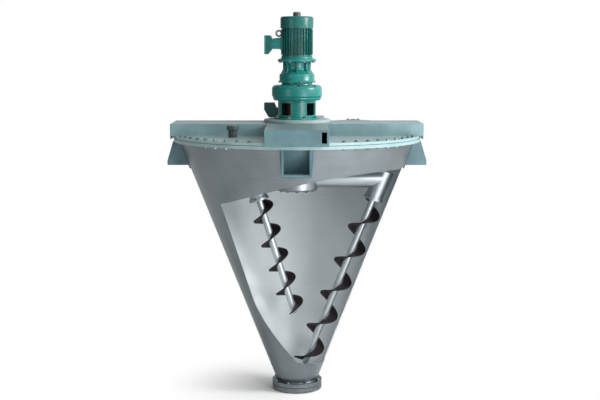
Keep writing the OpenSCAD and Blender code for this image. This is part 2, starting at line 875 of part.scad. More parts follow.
pinion_shaft_r = 18;
pinion_turn = slew_turn + 180;
module slew_wheel() {
  color("#8f9496") rotate(slew_turn) translate([0, 0, wheel_z]) difference() {
    linear_extrude(height = wheel_w) polygon(gear_outline(wheel_n, slew_m));
    translate([0, 0, -over]) cylinder(r = tube_r, h = wheel_w + 2 * over);
  }
}

module slew_pinion() {
  color("#a5a9ab") translate(slew_place) {
    rotate(pinion_turn) translate([0, 0, wheel_z])
      linear_extrude(height = wheel_w) polygon(gear_outline(pinion_n, slew_m, 0.5));
    translate([0, 0, wheel_z]) cylinder(r = pinion_shaft_r, h = base_top_z - wheel_z - run_gap, $fn = 48);
  }
}

// Slewing geared motor, upright behind the column
gearbox_h = 58;
slew_frame_h = 84;
slew_cowl_h = 36;
slew_foot_t = 12;
slew_foot = 12;
slew_edge = 8;
module slew_motor() {
  color("#1f5f57") translate(slew_place + [0, 0, base_top_z]) {
    rotate_extrude() polygon(concat(
      [
        [0, 0],
        [slew_motor_r + slew_foot, 0],
        [slew_motor_r + slew_foot, slew_foot_t],
        [slew_motor_r, slew_foot_t],
        [slew_motor_r, gearbox_h - slew_edge],
        [slew_motor_r - slew_edge, gearbox_h],
        [slew_motor_r - slew_edge, gearbox_h + slew_frame_h],
        [slew_motor_r, gearbox_h + slew_frame_h]
      ],
      round_corner(slew_motor_r, gearbox_h + slew_frame_h + slew_cowl_h, slew_edge),
      [[0, gearbox_h + slew_frame_h + slew_cowl_h]]
    ));
    for (i = [0 : fin_n / 2 - 1]) rotate(i * 720 / fin_n)
      translate([slew_motor_r - slew_edge - over, -fin_t / 2, gearbox_h])
        cube([slew_edge, fin_t, slew_frame_h]);
  }
}

// Its terminal box, wider at the top than at the foot
slew_box_in = 90;
slew_box_out = 164;
slew_box_foot = 134;
slew_box_w = 76;
slew_box_h = 98;
slew_box_slant = 30;
slew_box_neck = 50;
module slew_box() {
  color("#17453f") translate(slew_place + [0, -slew_box_w / 2, base_top_z]) {
    rotate([90, 0, 0]) translate([0, 0, -slew_box_w]) linear_extrude(height = slew_box_w) polygon([
      [-slew_box_foot, 0],
      [-slew_box_in, 0],
      [-slew_box_in, slew_box_h],
      [-slew_box_out, slew_box_h],
      [-slew_box_out, slew_box_slant]
    ]);
    difference() {
      translate([-slew_box_in - over, slew_box_w / 4, slew_foot_t + run_gap])
        cube([slew_box_in, slew_box_w / 2, slew_box_neck - slew_foot_t - slew_edge]);
      translate([0, slew_box_w / 2, -over]) cylinder(r = slew_motor_r, h = slew_box_h);
    }
  }
}

// Bearing sleeve, its bearings and the hollow slewing tube
bearing_h = 26;
bearing_lift = 10;
hub_top_z = flange_z - arm_drop + hub_h / 2;
arm_z = flange_z - arm_drop;
tube_foot_r = 106;
tube_foot_t = 14;
tube_top_z = wheel_z + wheel_w + gear_gap;

module bearing_sleeve() {
  color("#70797b") difference() {
    union() {
      translate([0, 0, sleeve_z]) cylinder(r = sleeve_r, h = lid_z - sleeve_z);
      translate([0, 0, lid_z]) cylinder(r = sleeve_flange_r, h = sleeve_flange_t);
    }
    translate([0, 0, sleeve_z - over]) cylinder(r = sleeve_r - sleeve_t, h = lid_z + sleeve_flange_t - sleeve_z + 2 * over);
  }
}

module slew_bearings() {
  color("#b9bec0") {
    tube(sleeve_r - sleeve_t, tube_r + run_gap, sleeve_z + bearing_lift, bearing_h);
    tube(sleeve_r - sleeve_t, tube_r + run_gap, lid_z - bearing_h, bearing_h);
  }
}

module slew_tube() {
  color("#9da3a5") difference() {
    union() {
      translate([0, 0, hub_top_z]) cylinder(r = tube_r, h = tube_top_z - hub_top_z);
      translate([0, 0, hub_top_z]) cylinder(r = tube_foot_r, h = tube_foot_t);
    }
    translate([0, 0, hub_top_z - over]) cylinder(r = tube_in_r, h = tube_top_z - hub_top_z + 2 * over);
  }
}

// Central drive shaft with the coupling in the lantern and the bevel gear in the hub
drive_r = 22;
bevel_n = 20;
bevel_r = 40;
bevel_w = 18;
bevel_hub_r = 26;
bevel_hub_h = 16;
bevel_m = 2 * bevel_r / bevel_n;
hub_bevel_a = 45;
half_h = 40;
spider_h = 12;
coupling_r = 62;
coupling_z = base_top_z + column_foot_t;
spider_z = coupling_z + half_h;
jaw_n = 3;
jaw_turn = 44;
jaw_play = 1;

// A bevel gear whose apex is at the origin and whose large end lies below it
module bevel(cone_half, phase = 0) {
  apex = bevel_r / tan(cone_half);
  translate([0, 0, -apex]) linear_extrude(height = bevel_w, scale = 1 - bevel_w / apex)
    polygon(gear_outline(bevel_n, bevel_m, phase));
  translate([0, 0, -apex - bevel_hub_h]) cylinder(r = bevel_hub_r, h = bevel_hub_h, $fn = 48);
}

module drive_shaft() {
  color("#b5babc") {
    translate([0, 0, arm_z + bevel_r + bevel_hub_h])
      cylinder(r = drive_r, h = spider_z - arm_z - bevel_r - bevel_hub_h, $fn = 48);
    translate([0, 0, spider_z + spider_h])
      cylinder(r = output_r, h = column_top_z + output_depth - spider_z - spider_h - run_gap, $fn = 48);
  }
}

module shaft_bearings() {
  color("#c0c5c7") {
    tube(tube_in_r, drive_r + run_gap, hub_top_z + bearing_lift, bearing_h);
    tube(tube_in_r, drive_r + run_gap, tube_top_z - bearing_h, bearing_h);
  }
}

module coupling() {
  color("#6b3b36") {
    tube(coupling_r, drive_r, coupling_z, half_h);
    tube(coupling_r, output_r, spider_z + spider_h, half_h);
    for (i = [0 : jaw_n - 1]) rotate(i * 360 / jaw_n) {
      translate([0, 0, spider_z - over]) rotate_extrude(angle = jaw_turn) translate([coupling_r / 2, 0])
        square([coupling_r / 2 - over, spider_h]);
      rotate(180 / jaw_n) translate([0, 0, spider_z + over]) rotate_extrude(angle = jaw_turn)
        translate([coupling_r / 2, 0]) square([coupling_r / 2 - over, spider_h]);
    }
  }
}

module coupling_spider() {
  color("#c23b2e") translate([0, 0, spider_z + over]) linear_extrude(height = spider_h - 2 * over) polygon([
    for (i = [0 : 2 * jaw_n - 1])
      for (corner = [
        [coupling_r / 2 - run_gap, jaw_turn + jaw_play],
        [coupling_r - over, jaw_turn + jaw_play],
        [coupling_r - over, 180 / jaw_n - jaw_play],
        [coupling_r / 2 - run_gap, 180 / jaw_n - jaw_play]
      ])
        let (a = i * 180 / jaw_n + corner[1])
          [corner[0] * cos(a), corner[0] * sin(a)]
  ]);
}

module drive_bevel() {
  color("#c9a86a") translate([0, 0, arm_z]) rotate([180, 0, 0]) bevel(hub_bevel_a);
}

// Hub case: turns below the cover and carries both arms
hub_r = hub_d / 2;
hub_t = 12;
hub_z = arm_z - hub_h / 2;
hub_edge = 12;
arm_r = arm_d / 2;
arm_in_r = arm_r - arm_t;
arm_shaft_r = 14;
module hub_case() {
  color("#c3c8ca") difference() {
    translate([0, 0, hub_z + hub_t]) rotate_extrude() polygon([
      [0, 0],
      [hub_r, 0],
      [hub_r, hub_h - hub_t - hub_edge],
      [hub_r - hub_edge, hub_h - hub_t],
      [0, hub_h - hub_t]
    ]);
    translate([0, 0, hub_z + hub_t - over]) cylinder(r = hub_r - hub_t, h = hub_h - 2 * hub_t + over);
    translate([0, 0, hub_z]) cylinder(r = tube_in_r, h = hub_h + over);
    translate([-hub_r - over, 0, arm_z]) rotate([0, 90, 0]) cylinder(r = arm_r, h = 2 * (hub_r + over));
  }
}

module hub_cover() {
  color("#d5d9db") translate([0, 0, hub_z]) rotate_extrude() polygon([
    [0, 0],
    [hub_r - hub_edge, 0],
    [hub_r, hub_edge],
    [hub_r, hub_t],
    [0, hub_t]
  ]);
}

// Long screw: its axis follows the wall with these gaps at the arm and at the tip
long_r = long_d / 2;
arm_gap = 5;
tip_gap = 22;
tip_lift = 102;
long_tip_z = cone_z + tip_lift;
long_x = cone_r(arm_z) - (long_r + arm_gap) / cos(cone_a);
long_tip_x = cone_r(long_tip_z) - (long_r + tip_gap) / cos(cone_a);
long_tilt = atan((long_x - long_tip_x) / (arm_z - long_tip_z));
long_len = (arm_z - long_tip_z) / cos(long_tilt);

// Short screw: it leans in and ends beside the long one
short_r = short_d / 2;
short_depth_share = 0.727;
short_tip_x = 16;
short_drop = (arm_z - long_tip_z) * short_depth_share;
short_tilt = atan((short_reach - short_tip_x) / short_drop);
short_len = short_drop / cos(short_tilt);

// An arm with the knuckle case at its end, which follows the screw's axis
knuckle_r = 58;
knuckle_in_r = 48;
knuckle_up = 52;
knuckle_down = 150;
knuckle_cap_t = 10;
knuckle_collar = 8;
knuckle_collar_t = 14;
bush_l = 60;
seat_l = 16;
seat_gap = 4;
function gear_foot(tilt) = bevel_r / tan((90 - tilt) / 2) + bevel_hub_h;
module arm(reach, tilt) {
  for (x = [hub_r, reach - gear_foot(tilt) - seat_gap - seat_l])
    translate([x, 0, 0]) rotate([0, 90, 0]) tube(arm_in_r + over, arm_shaft_r + run_gap, 0, seat_l);
  difference() {
    union() {
      translate([hub_r - hub_t - hub_edge, 0, 0]) rotate([0, 90, 0])
        cylinder(r = arm_r, h = reach - hub_r + hub_t + hub_edge);
      translate([reach, 0, 0]) rotate([0, tilt, 0]) {
        translate([0, 0, -knuckle_down]) cylinder(r = knuckle_r, h = knuckle_down + knuckle_up);
        translate([0, 0, -knuckle_down]) cylinder(r = knuckle_r + knuckle_collar, h = knuckle_collar_t);
        translate([0, 0, knuckle_up - knuckle_cap_t]) cylinder(r = knuckle_r + knuckle_collar / 2, h = knuckle_cap_t);
      }
    }
    translate([hub_r - 2 * hub_t - hub_edge, 0, 0]) rotate([0, 90, 0])
      cylinder(r = arm_in_r, h = reach - hub_r + hub_t + hub_edge);
    translate([reach, 0, 0]) rotate([0, tilt, 0]) {
      translate([0, 0, bush_l - knuckle_down])
        cylinder(r = knuckle_in_r, h = knuckle_down + knuckle_up - bush_l - knuckle_cap_t);
      translate([0, 0, -knuckle_down - over])
        cylinder(r = shaft_d / 2 + run_gap, h = bush_l + 2 * over, $fn = 48);
    }
  }
}

module arm_long() {
  color("#bfc5c8") translate([0, 0, arm_z]) arm(long_x, long_tilt);
}

module arm_short() {
  color("#bfc5c8") translate([0, 0, arm_z]) mirror([1, 0, 0]) arm(short_reach, short_tilt);
}

// Arm shafts with a bevel gear at each end
module arm_shaft(reach, tilt) {
  shaft_from = bevel_r + bevel_hub_h - over;
  rotate([0, -90, 0]) bevel(hub_bevel_a, 0.5);
  translate([shaft_from, 0, 0]) rotate([0, 90, 0])
    cylinder(r = arm_shaft_r, h = reach - gear_foot(tilt) + over - shaft_from, $fn = 48);
  translate([reach, 0, 0]) rotate([0, 90, 0]) bevel((90 - tilt) / 2);
}

module arm_shaft_long() {
  color("#b0a079") translate([0, 0, arm_z]) arm_shaft(long_x, long_tilt);
}

module arm_shaft_short() {
  color("#b0a079") translate([0, 0, arm_z]) mirror([1, 0, 0]) arm_shaft(short_reach, short_tilt);
}

// Screw shafts: a bevel gear at the top and a tapered nose, with z = 0 at the gear's apex
nose_h = 16;
nose_r = 12;
shaft_r = shaft_d / 2;
module screw_shaft(length, tilt) {
  bevel((90 - tilt) / 2, 0.5);
  translate([0, 0, -length]) rotate_extrude() polygon([
    [0, 0],
    [nose_r, 0],
    [shaft_r, nose_h],
    [shaft_r, length - gear_foot(tilt) + over],
    [0, length - gear_foot(tilt) + over]
  ]);
}

module at_long_knuckle() {
  translate([long_x, 0, arm_z]) rotate([0, long_tilt, 0]) children();
}

module at_short_knuckle() {
  translate([-short_reach, 0, arm_z]) rotate([0, -short_tilt, 0]) children();
}

module screw_long() {
  color("#c9cdd0") at_long_knuckle() screw_shaft(long_len, long_tilt);
}

module screw_short() {
  color("#c9cdd0") at_short_knuckle() screw_shaft(short_len, short_tilt);
}

// Flights: right-handed helical bands, swept in steps and welded a little into the shaft
flight_lift = 18;
flight_sink = 1.5;
flight_steps = 30;
long_phase = 16;
short_phase = 73;
function flight_points(r, pitch, n) = [
  for (i = [0 : n])
    let (z = i * pitch / flight_steps, a = i * 360 / flight_steps)
      for (corner = [[shaft_r - flight_sink, 0], [r, 0], [r, flight_t], [shaft_r - flight_sink, flight_t]])
        [corner[0] * cos(a), corner[0] * sin(a), z + corner[1]]
];
function flight_faces(n) = concat(
  [[3, 2, 1, 0]],
  [[4 * n, 4 * n + 1, 4 * n + 2, 4 * n + 3]],
  [
    for (i = [0 : n - 1])
      for (j = [0 : 3])
        let (a = 4 * i + j, b = 4 * i + (j + 1) % 4)
          for (face = [[a, b, b + 4], [a, b + 4, a + 4]]) face
  ]
);
module flight(r, pitch, length, phase) {
  band = length - nose_h - knuckle_down - flight_lift;
  n = round(flight_steps * band / pitch);
  foot = nose_h - length;
  translate([0, 0, foot]) rotate(phase + 360 * foot / pitch)
    polyhedron(points = flight_points(r, pitch, n), faces = flight_faces(n), convexity = 10);
}

module flight_long() {
  color("#2e2024") at_long_knuckle() flight(long_r, long_pitch, long_len, long_phase);
}

module flight_short() {
  color("#2e2024") at_short_knuckle() flight(short_r, short_pitch, short_len, short_phase);
}

cone_shell();
vessel_flange();
cover_gasket();
cover_plate();
cover_bolts();
main_beam();
front_beam();
back_beam();
lug_left();
lug_right();
lug_front();
lug_back();
outlet_flange();
outlet_gasket();
outlet_ring();
outlet_bolts();
spray_neck();
spray_cap();
manhole_neck();
manhole_gasket();
manhole_cover();
manhole_pin();
drive_base();
drive_column();
reducer_ring();
reducer_bell();
drive_bolts();
motor_flange();
motor_frame();
motor_stator();
motor_rotor();
motor_fan();
fan_cowl();
cowl_cap();
terminal_box();
terminal_lid();
lifting_eye();
gear_case();
slew_pinion();
slew_motor();
slew_box();
bearing_sleeve();
slew_bearings();
slew_tube();
slew_wheel();
drive_shaft();
shaft_bearings();
coupling();
coupling_spider();
drive_bevel();
hub_case();
hub_cover();
arm_long();
arm_short();
arm_shaft_long();
arm_shaft_short();
screw_long();
screw_short();
flight_long();
flight_short();
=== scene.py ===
# %% [markdown]
# # A conical twin-screw mixer
# A big steel cone holds the powder. Two slanted screws stir it, carried by an arm that turns below
# the cover, and a geared motor on top drives everything. This lesson dresses the exact CAD model
# of that machine. The CAD solids are the frame: they say where each piece is and how it moves.
# Blender adds what CAD leaves out: soft edges, bolts, welds and paint.

# %% The frame and the tools
import json
import math

import bmesh
import bpy
from mathutils import Matrix, Vector


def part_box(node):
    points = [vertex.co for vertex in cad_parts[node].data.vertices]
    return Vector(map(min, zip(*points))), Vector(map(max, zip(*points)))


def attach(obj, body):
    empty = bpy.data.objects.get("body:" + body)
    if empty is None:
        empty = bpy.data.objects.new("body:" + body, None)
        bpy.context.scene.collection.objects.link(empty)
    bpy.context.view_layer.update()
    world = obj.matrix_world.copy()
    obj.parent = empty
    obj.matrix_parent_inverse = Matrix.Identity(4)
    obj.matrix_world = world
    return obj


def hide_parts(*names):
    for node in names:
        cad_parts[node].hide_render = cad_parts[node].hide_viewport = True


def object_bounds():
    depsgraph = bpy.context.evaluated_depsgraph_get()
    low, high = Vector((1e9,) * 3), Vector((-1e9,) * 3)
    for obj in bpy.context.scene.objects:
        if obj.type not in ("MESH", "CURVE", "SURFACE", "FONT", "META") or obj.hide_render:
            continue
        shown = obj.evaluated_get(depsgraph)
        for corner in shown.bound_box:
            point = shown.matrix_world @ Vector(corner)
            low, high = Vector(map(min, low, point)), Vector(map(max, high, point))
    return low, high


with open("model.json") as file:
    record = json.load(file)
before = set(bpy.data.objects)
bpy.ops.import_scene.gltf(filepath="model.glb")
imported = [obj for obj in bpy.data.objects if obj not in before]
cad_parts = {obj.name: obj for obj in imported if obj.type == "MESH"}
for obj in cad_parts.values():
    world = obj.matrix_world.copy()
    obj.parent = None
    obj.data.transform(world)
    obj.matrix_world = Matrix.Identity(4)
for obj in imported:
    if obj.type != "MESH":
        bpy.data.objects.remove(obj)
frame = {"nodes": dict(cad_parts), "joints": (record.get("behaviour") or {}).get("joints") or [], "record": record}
cad_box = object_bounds()
scene = bpy.context.scene
nodes = frame["nodes"]
print("CAD nodes:", len(nodes), "height in metres:", round(cad_box[1].z - cad_box[0].z, 3))

# %% [markdown]
# ## Units, colours, nodes and objects
# The frame is in metres, but a machine drawing is in millimetres, so sizes are written as numbers
# times MM. Colours are written as sRGB hex values, as a paint chart gives them, and one function
# turns them into the linear values that a renderer adds up. Shader trees and Geometry Nodes trees
# are both built from nodes with settings and links, so one small function serves both.

# %% Units and helpers
MM = 0.001
IN_PLACE = Matrix.Identity(4)
DOWN = Matrix.Rotation(math.pi, 4, "X")
# The nodes that are used most
MATH = "ShaderNodeMath"
VECTORS = "ShaderNodeVectorMath"
RANGE = "ShaderNodeMapRange"
COMBINE = "ShaderNodeCombineXYZ"


def linear(hex_colour):
    """An sRGB hex colour as linear red, green, blue and alpha."""
    shares = [int(hex_colour[i : i + 2], 16) / 255 for i in (1, 3, 5)]
    return (*[s / 12.92 if s <= 0.04045 else ((s + 0.055) / 1.055) ** 2.4 for s in shares], 1.0)


def add(tree, kind, inputs=None, operation=None, **settings):
    """Adds a node. Each input gets a value, a link, a node's first output, or a list of these."""
    made = tree.nodes.new(kind)
    if operation:
        made.operation = operation
    for name, value in settings.items():
        setattr(made, name, value)
    for name, value in (inputs or {}).items():
        for source in value if isinstance(value, list) else [value]:
            if isinstance(source, bpy.types.Node):
                source = source.outputs[0]
            if isinstance(source, bpy.types.NodeSocket):
                tree.links.new(source, made.inputs[name])
            else:
                made.inputs[name].default_value = source
    return made


def empty_tree(owner):
    """Switches on the nodes of a material or world, and clears them."""
    owner.use_nodes = True
    owner.node_tree.nodes.clear()
    return owner.node_tree


def begin(name):
    """A new material and its empty tree."""
    material = bpy.data.materials.new(name)
    return material, empty_tree(material)


def span(value, low, high, start=0.3, end=0.7):
    """Map Range inputs that stretch a value from start and end to low and high."""
    return {"Value": value, "From Min": start, "From Max": end, "To Min": low, "To Max": high}


def stand(name, data, *materials):
    """Puts a mesh, camera or lamp into the scene, with the finishes that it wears."""
    made = bpy.data.objects.new(name, data)
    scene.collection.objects.link(made)
    for material in materials:
        data.materials.append(material)
    return made


def mesh_from(name, draw):
    """A mesh that draw fills in a bmesh, with its faces turned outwards."""
    bm = bmesh.new()
    draw(bm)
    bmesh.ops.recalc_face_normals(bm, faces=bm.faces)
    mesh = bpy.data.meshes.new(name)
    bm.to_mesh(mesh)
    bm.free()
    return mesh


print("drive enamel, linear:", [round(c, 3) for c in linear("#0a7f79")])

# %% [markdown]
# ## Camera
# The photograph was taken from far away with a long lens, a little above the cover: the rim of the
# vessel is a thin ellipse. A short lens close by would spread the cover and pinch the outlet.

# %% Camera
CAMERA_TARGET = Vector((0.0197, 0.0, -0.2388))
CAMERA_DISTANCE = 7.536
CAMERA_PITCH = math.radians(7.26)
camera = stand("camera", bpy.data.cameras.new("camera"))
camera.data.sensor_width = 36
camera.data.lens = 69
scene.camera = camera
view_from = Vector((0, -math.cos(CAMERA_PITCH), math.sin(CAMERA_PITCH)))
camera.location = CAMERA_TARGET + CAMERA_DISTANCE * view_from
camera.rotation_euler = (math.pi / 2 - CAMERA_PITCH, 0, 0)
print("camera at", [round(c, 3) for c in camera.location])

# %% [markdown]
# ## Studio
# The machine stands in front of plain white, lit from the right: its left sides are dark and its
# right sides shine. The camera sees a white backdrop, but the rays that light the machine meet a
# studio that is bright on the right and darker on the left. The floor is a wide disc that keeps a
# soft shadow near the outlet and turns to pure white further out, so no horizon shows.

# %% Floor
FLOOR_RADIUS = 30.0
SHADOW_FROM = 0.16
SHADOW_TO = 0.95
WHITE = (1, 1, 1, 1)


def draw_floor(bm):
    """A wide flat disc at the foot of the machine."""
    level = Matrix.Translation((0, 0, cad_box[0].z))
    bmesh.ops.create_circle(bm, cap_ends=True, radius=FLOOR_RADIUS, segments=96, matrix=level)


paper, tree = begin("Paper_matt_white")
place = add(tree, "ShaderNodeTexCoord").outputs["Object"]
flat = add(tree, VECTORS, {0: place, 1: (1, 1, 0)}, "MULTIPLY")
distance = add(tree, VECTORS, {0: flat}, "LENGTH").outputs["Value"]
values = span(distance, 0.0, 1.0, SHADOW_FROM, SHADOW_TO)
far = add(tree, RANGE, values, interpolation_type="SMOOTHSTEP")
seen = add(tree, "ShaderNodeLightPath").outputs["Is Camera Ray"]
white = add(tree, MATH, {0: seen, 1: far}, "MULTIPLY")
matt = add(tree, "ShaderNodeBsdfDiffuse", {"Color": linear("#f6f6f6")})
glow = add(tree, "ShaderNodeEmission", {"Color": WHITE, "Strength": 1.0})
mixed = add(tree, "ShaderNodeMixShader", {0: white, 1: matt, 2: glow})
add(tree, "ShaderNodeOutputMaterial", {"Surface": mixed})
stand("floor", mesh_from("floor", draw_floor), paper)
print("floor at", round(cad_box[0].z, 4))

# %% World
DARK_SIDE = 0.15
LIGHT_SIDE = 1.25
DARK_UNTIL = -0.8
LIGHT_FROM = 0.9
world = bpy.data.worlds.new("studio")
scene.world = world
tree = empty_tree(world)
seen = add(tree, "ShaderNodeLightPath").outputs["Is Camera Ray"]
toward = add(tree, "ShaderNodeTexCoord").outputs["Generated"]
aside = add(tree, "ShaderNodeSeparateXYZ", {0: toward}).outputs["X"]
values = span(aside, DARK_SIDE, LIGHT_SIDE, DARK_UNTIL, LIGHT_FROM)
studio = add(tree, RANGE, values, interpolation_type="SMOOTHSTEP")
level = add(tree, MATH, {0: seen, 1: studio}, "MAXIMUM")
sky = add(tree, "ShaderNodeBackground", {"Color": WHITE, "Strength": level})
add(tree, "ShaderNodeOutputWorld", {"Surface": sky})
scene.view_settings.view_transform = "Standard"
print("studio from", DARK_SIDE, "on the left to", LIGHT_SIDE, "on the right")

# %% Lamps


def soft_lamp(name, place, size, watts, target=CAMERA_TARGET):
    """A square area lamp that looks at its target, or else at the middle of the machine."""
    data = bpy.data.lights.new(name, "AREA")
    data.size = size
    data.energy = watts
    lamp = stand(name, data)
    lamp.location = place
    lamp.rotation_euler = (Vector(target) - Vector(place)).to_track_quat("-Z", "Y").to_euler()


soft_lamp("key", (5.4, -1.9, 2.6), 2.2, 360)
soft_lamp("window", (2.3, -3.6, -0.4), 1.6, 70, (-0.3, 0.0, -0.6))
soft_lamp("fill", (-3.4, -4.2, 0.9), 2.0, 24, (0.3, 0.0, -0.2))

# %% [markdown]
# ## Patterns that finishes share
# A finish is seen through small differences: lines from grinding, a skin of sprayed paint, dust
# where it can settle. Object coordinates are in metres here, so a pattern's scale is one divided
# by the real size of its grain. Rolled and turned pieces carry lines that run around the vertical
# axis. An angle would jump where the circle closes, so the pattern reads the direction from the
# axis instead, as a point on a small circle, and the height for the fine spacing of the lines.

# %% Pattern helpers


def grain(tree, size, detail=3.0, vector=None):
    """Soft noise whose lumps are about this size in metres."""
    place = vector or add(tree, "ShaderNodeTexCoord").outputs["Object"]
    values = {"Vector": place, "Scale": 1 / size, "Detail": detail}
    return add(tree, "ShaderNodeTexNoise", values).outputs["Fac"]


def for_lines(tree, spacing, length, turned):
    """Coordinates for lines around the vertical axis, or else along it, with sizes in metres."""
    place = add(tree, "ShaderNodeTexCoord").outputs["Object"]
    if not turned:
        return add(tree, "ShaderNodeMapping", {"Vector": place, "Scale": (1, 1, spacing / length)})
    flat = add(tree, VECTORS, {0: place, 1: (1, 1, 0)}, "MULTIPLY")
    turn = add(tree, VECTORS, {0: flat}, "NORMALIZE")
    turn = add(tree, VECTORS, {0: turn, "Scale": spacing / length}, "SCALE")
    height = add(tree, VECTORS, {0: place, 1: (0, 0, 1)}, "MULTIPLY")
    return add(tree, VECTORS, {0: turn, 1: height}, "ADD")


def two_tones(tree, pattern, first, second, start=0.3, end=0.7):
    """A colour that drifts from the first to the second where the pattern is high."""
    share = add(tree, RANGE, span(pattern, 0.0, 1.0, start, end))
    tones = {0: share, 6: linear(first), 7: linear(second)}
    return add(tree, "ShaderNodeMix", tones, data_type="RGBA").outputs[2]


def end(material, sockets):
    """The last two nodes of every finish: the shader and the output."""
    shader = add(material.node_tree, "ShaderNodeBsdfPrincipled", sockets)
    add(material.node_tree, "ShaderNodeOutputMaterial", {"Surface": shader})
    return material


# %% [markdown]
# ## Metals
# A metal has no colour of its own under the shine, so Metallic is 1 and the base colour tints the
# reflection. It is lower where a blasted skin, scale or oil dulls the metal. What tells stainless
# sheet from turned bar is the roughness and the direction of the lines. Ground lines are some
# tenths of a millimetre apart on the real sheet, too fine for the picture, so here they are drawn
# a few millimetres apart and kept faint.

# %% Metal finishes
METAL_CLOUDS = 180 * MM


def metal(name, light, dark, rough, line=3 * MM, length=0.4, depth=0.05 * MM, turned=True, metallic=1.0):
    """A ground or turned metal: two close tones in clouds, and lines in roughness and bump."""
    material, tree = begin(name)
    lines = grain(tree, line, 2.0, for_lines(tree, line, length, turned))
    tone = add(tree, MATH, {0: grain(tree, METAL_CLOUDS, 4.0), 1: lines}, "ADD")
    colour = two_tones(tree, tone, dark, light, 0.7, 1.3)
    roughness = add(tree, RANGE, span(lines, rough - 0.05, rough + 0.07))
    bump = add(tree, "ShaderNodeBump", {"Height": lines, "Distance": depth, "Strength": 0.6})
    sockets = {"Base Color": colour, "Metallic": metallic, "Roughness": roughness, "Normal": bump}
    return end(material, sockets)


finishes = {
    # Rolled stainless sheet, ground around the cone: grey, with a soft wide shine
    "vessel_outside": metal("Stainless_sheet_ground", "#828a8e", "#70787c", 0.42, 2 * MM, 0.7, 0.02 * MM),
    # The powder side is blasted with glass beads and half matt, so it scatters light; its pale tone also paints
    # the light that falls in through the window
    "vessel_inside": metal("Stainless_sheet_blasted_lit", "#dfe3e5", "#d3d8db", 0.6, 2 * MM, 0.6, metallic=0.2),
    # The bright rim where the sheet was cut for the window
    "cut_edge": metal("Stainless_cut_edge", "#dde1e3", "#c2c8cb", 0.3, 1.5 * MM, 0.05, turned=False),
    # Weld beads, brushed but still a little blue from the heat
    "weld_steel": metal("Weld_bead_brushed", "#9a9fa5", "#6d7078", 0.35, 3 * MM, 0.02, turned=False),
    # Stainless castings of the arm, polished once and dulled by the powder
    "arm_steel": metal("Stainless_casting_polished", "#aab1b5", "#949ca1", 0.42, 2 * MM, 0.2),
    # Ground stainless bar of the screw shafts, a little paler than the castings
    "shaft_steel": metal("Stainless_bar_ground", "#b6bdc0", "#a0a8ac", 0.38, 1.5 * MM, 0.1),
    # Flights rolled from plate and rubbed by the powder, in a near-black tone that also paints the shade on their
    # faces
    "flight_steel": metal("Steel_plate_near_black", "#24161c", "#120b0e", 0.5, 6 * MM, 0.1, metallic=0.4),
    # The counter flange at the outlet: plain steel, darkened by oil
    "outlet_steel": metal("Steel_flange_oiled", "#7f878b", "#575d61", 0.42, 2 * MM, 0.2, metallic=0.9),
    # Machine bolts with a dull zinc coat
    "bolt_steel": metal("Steel_zinc_plated", "#8b9494", "#687170", 0.38, 2 * MM, 0.02, turned=False),
    # Turned steel of the tubes, bearings and the motor's shaft
    "machined_steel": metal("Steel_turned", "#c4c9cb", "#a4abae", 0.26, 1.5 * MM, 0.2),
    # Hobbed gear steel, oiled
    "gear_steel": metal("Gear_steel_oiled", "#a9aeb0", "#82898c", 0.3, 1.5 * MM, 0.2),
    # Bronze of the driving bevel gear
    "gear_brass": metal("Bronze_cut", "#c9a35e", "#a7813f", 0.3, 1.5 * MM, 0.2),
    # Copper windings inside the motor, dipped in varnish
    "winding_copper": metal("Copper_varnished", "#a65f38", "#7d4326", 0.45, 3 * MM, 0.3),
}
print("metals:", len(finishes))

# %% [markdown]
# ## Paints, castings and rubber
# The beams and lugs wear a grey-teal enamel and the drive a green one, both sprayed. Sprayed enamel
# has a slightly wavy skin, like orange peel, and its colour drifts a little from one coat to the
# next. On a machine that stands in a mill, pale dust settles on whatever faces up. The shader
# reads that from the surface's own normal, so it stays true from every side.

# %% Painted finishes
DUST = "#b9bdb8"
PAINT_CLOUDS = 110 * MM
SPECKS = 9 * MM
CAST_CLOUDS = 60 * MM


def paint(name, fresh, aged, rough, peel=4 * MM, depth=0.12 * MM, dust=0.18):
    """Sprayed enamel: a tone that drifts, orange peel, fine specks and dust on faces that look up."""
    material, tree = begin(name)
    colour = two_tones(tree, grain(tree, PAINT_CLOUDS, 4.0), fresh, aged, 0.35, 0.65)
    specks = grain(tree, SPECKS, 2.0)
    facing = add(tree, "ShaderNodeNewGeometry").outputs["Normal"]
    up = add(tree, "ShaderNodeSeparateXYZ", {0: facing}).outputs["Z"]
    lying = add(tree, RANGE, span(up, 0.0, dust, 0.4, 1.0))
    uneven = add(tree, RANGE, span(specks, 0.5, 1.0))
    settled = add(tree, MATH, {0: lying, 1: uneven}, "MULTIPLY")
    tones = {0: settled, 6: colour, 7: linear(DUST)}
    colour = add(tree, "ShaderNodeMix", tones, data_type="RGBA").outputs[2]
    values = {"Height": grain(tree, peel, 1.0), "Distance": depth, "Strength": 0.5}
    bump = add(tree, "ShaderNodeBump", values)
    roughness = add(tree, RANGE, span(specks, rough - 0.04, rough + 0.08))
    return end(material, {"Base Color": colour, "Roughness": roughness, "Normal": bump, "IOR": 1.5})


def cast(name, fresh, aged, rough, pit=5 * MM, depth=0.5 * MM):
    """Enamel, primer or rubber with the lumps of its mould."""
    material, tree = begin(name)
    lumps = grain(tree, pit, 4.0)
    colour = two_tones(tree, grain(tree, CAST_CLOUDS), fresh, aged)
    bump = add(tree, "ShaderNodeBump", {"Height": lumps, "Distance": depth, "Strength": 0.6})
    roughness = add(tree, RANGE, span(lumps, rough, rough + 0.12))
    return end(material, {"Base Color": colour, "Roughness": roughness, "Normal": bump, "IOR": 1.5})


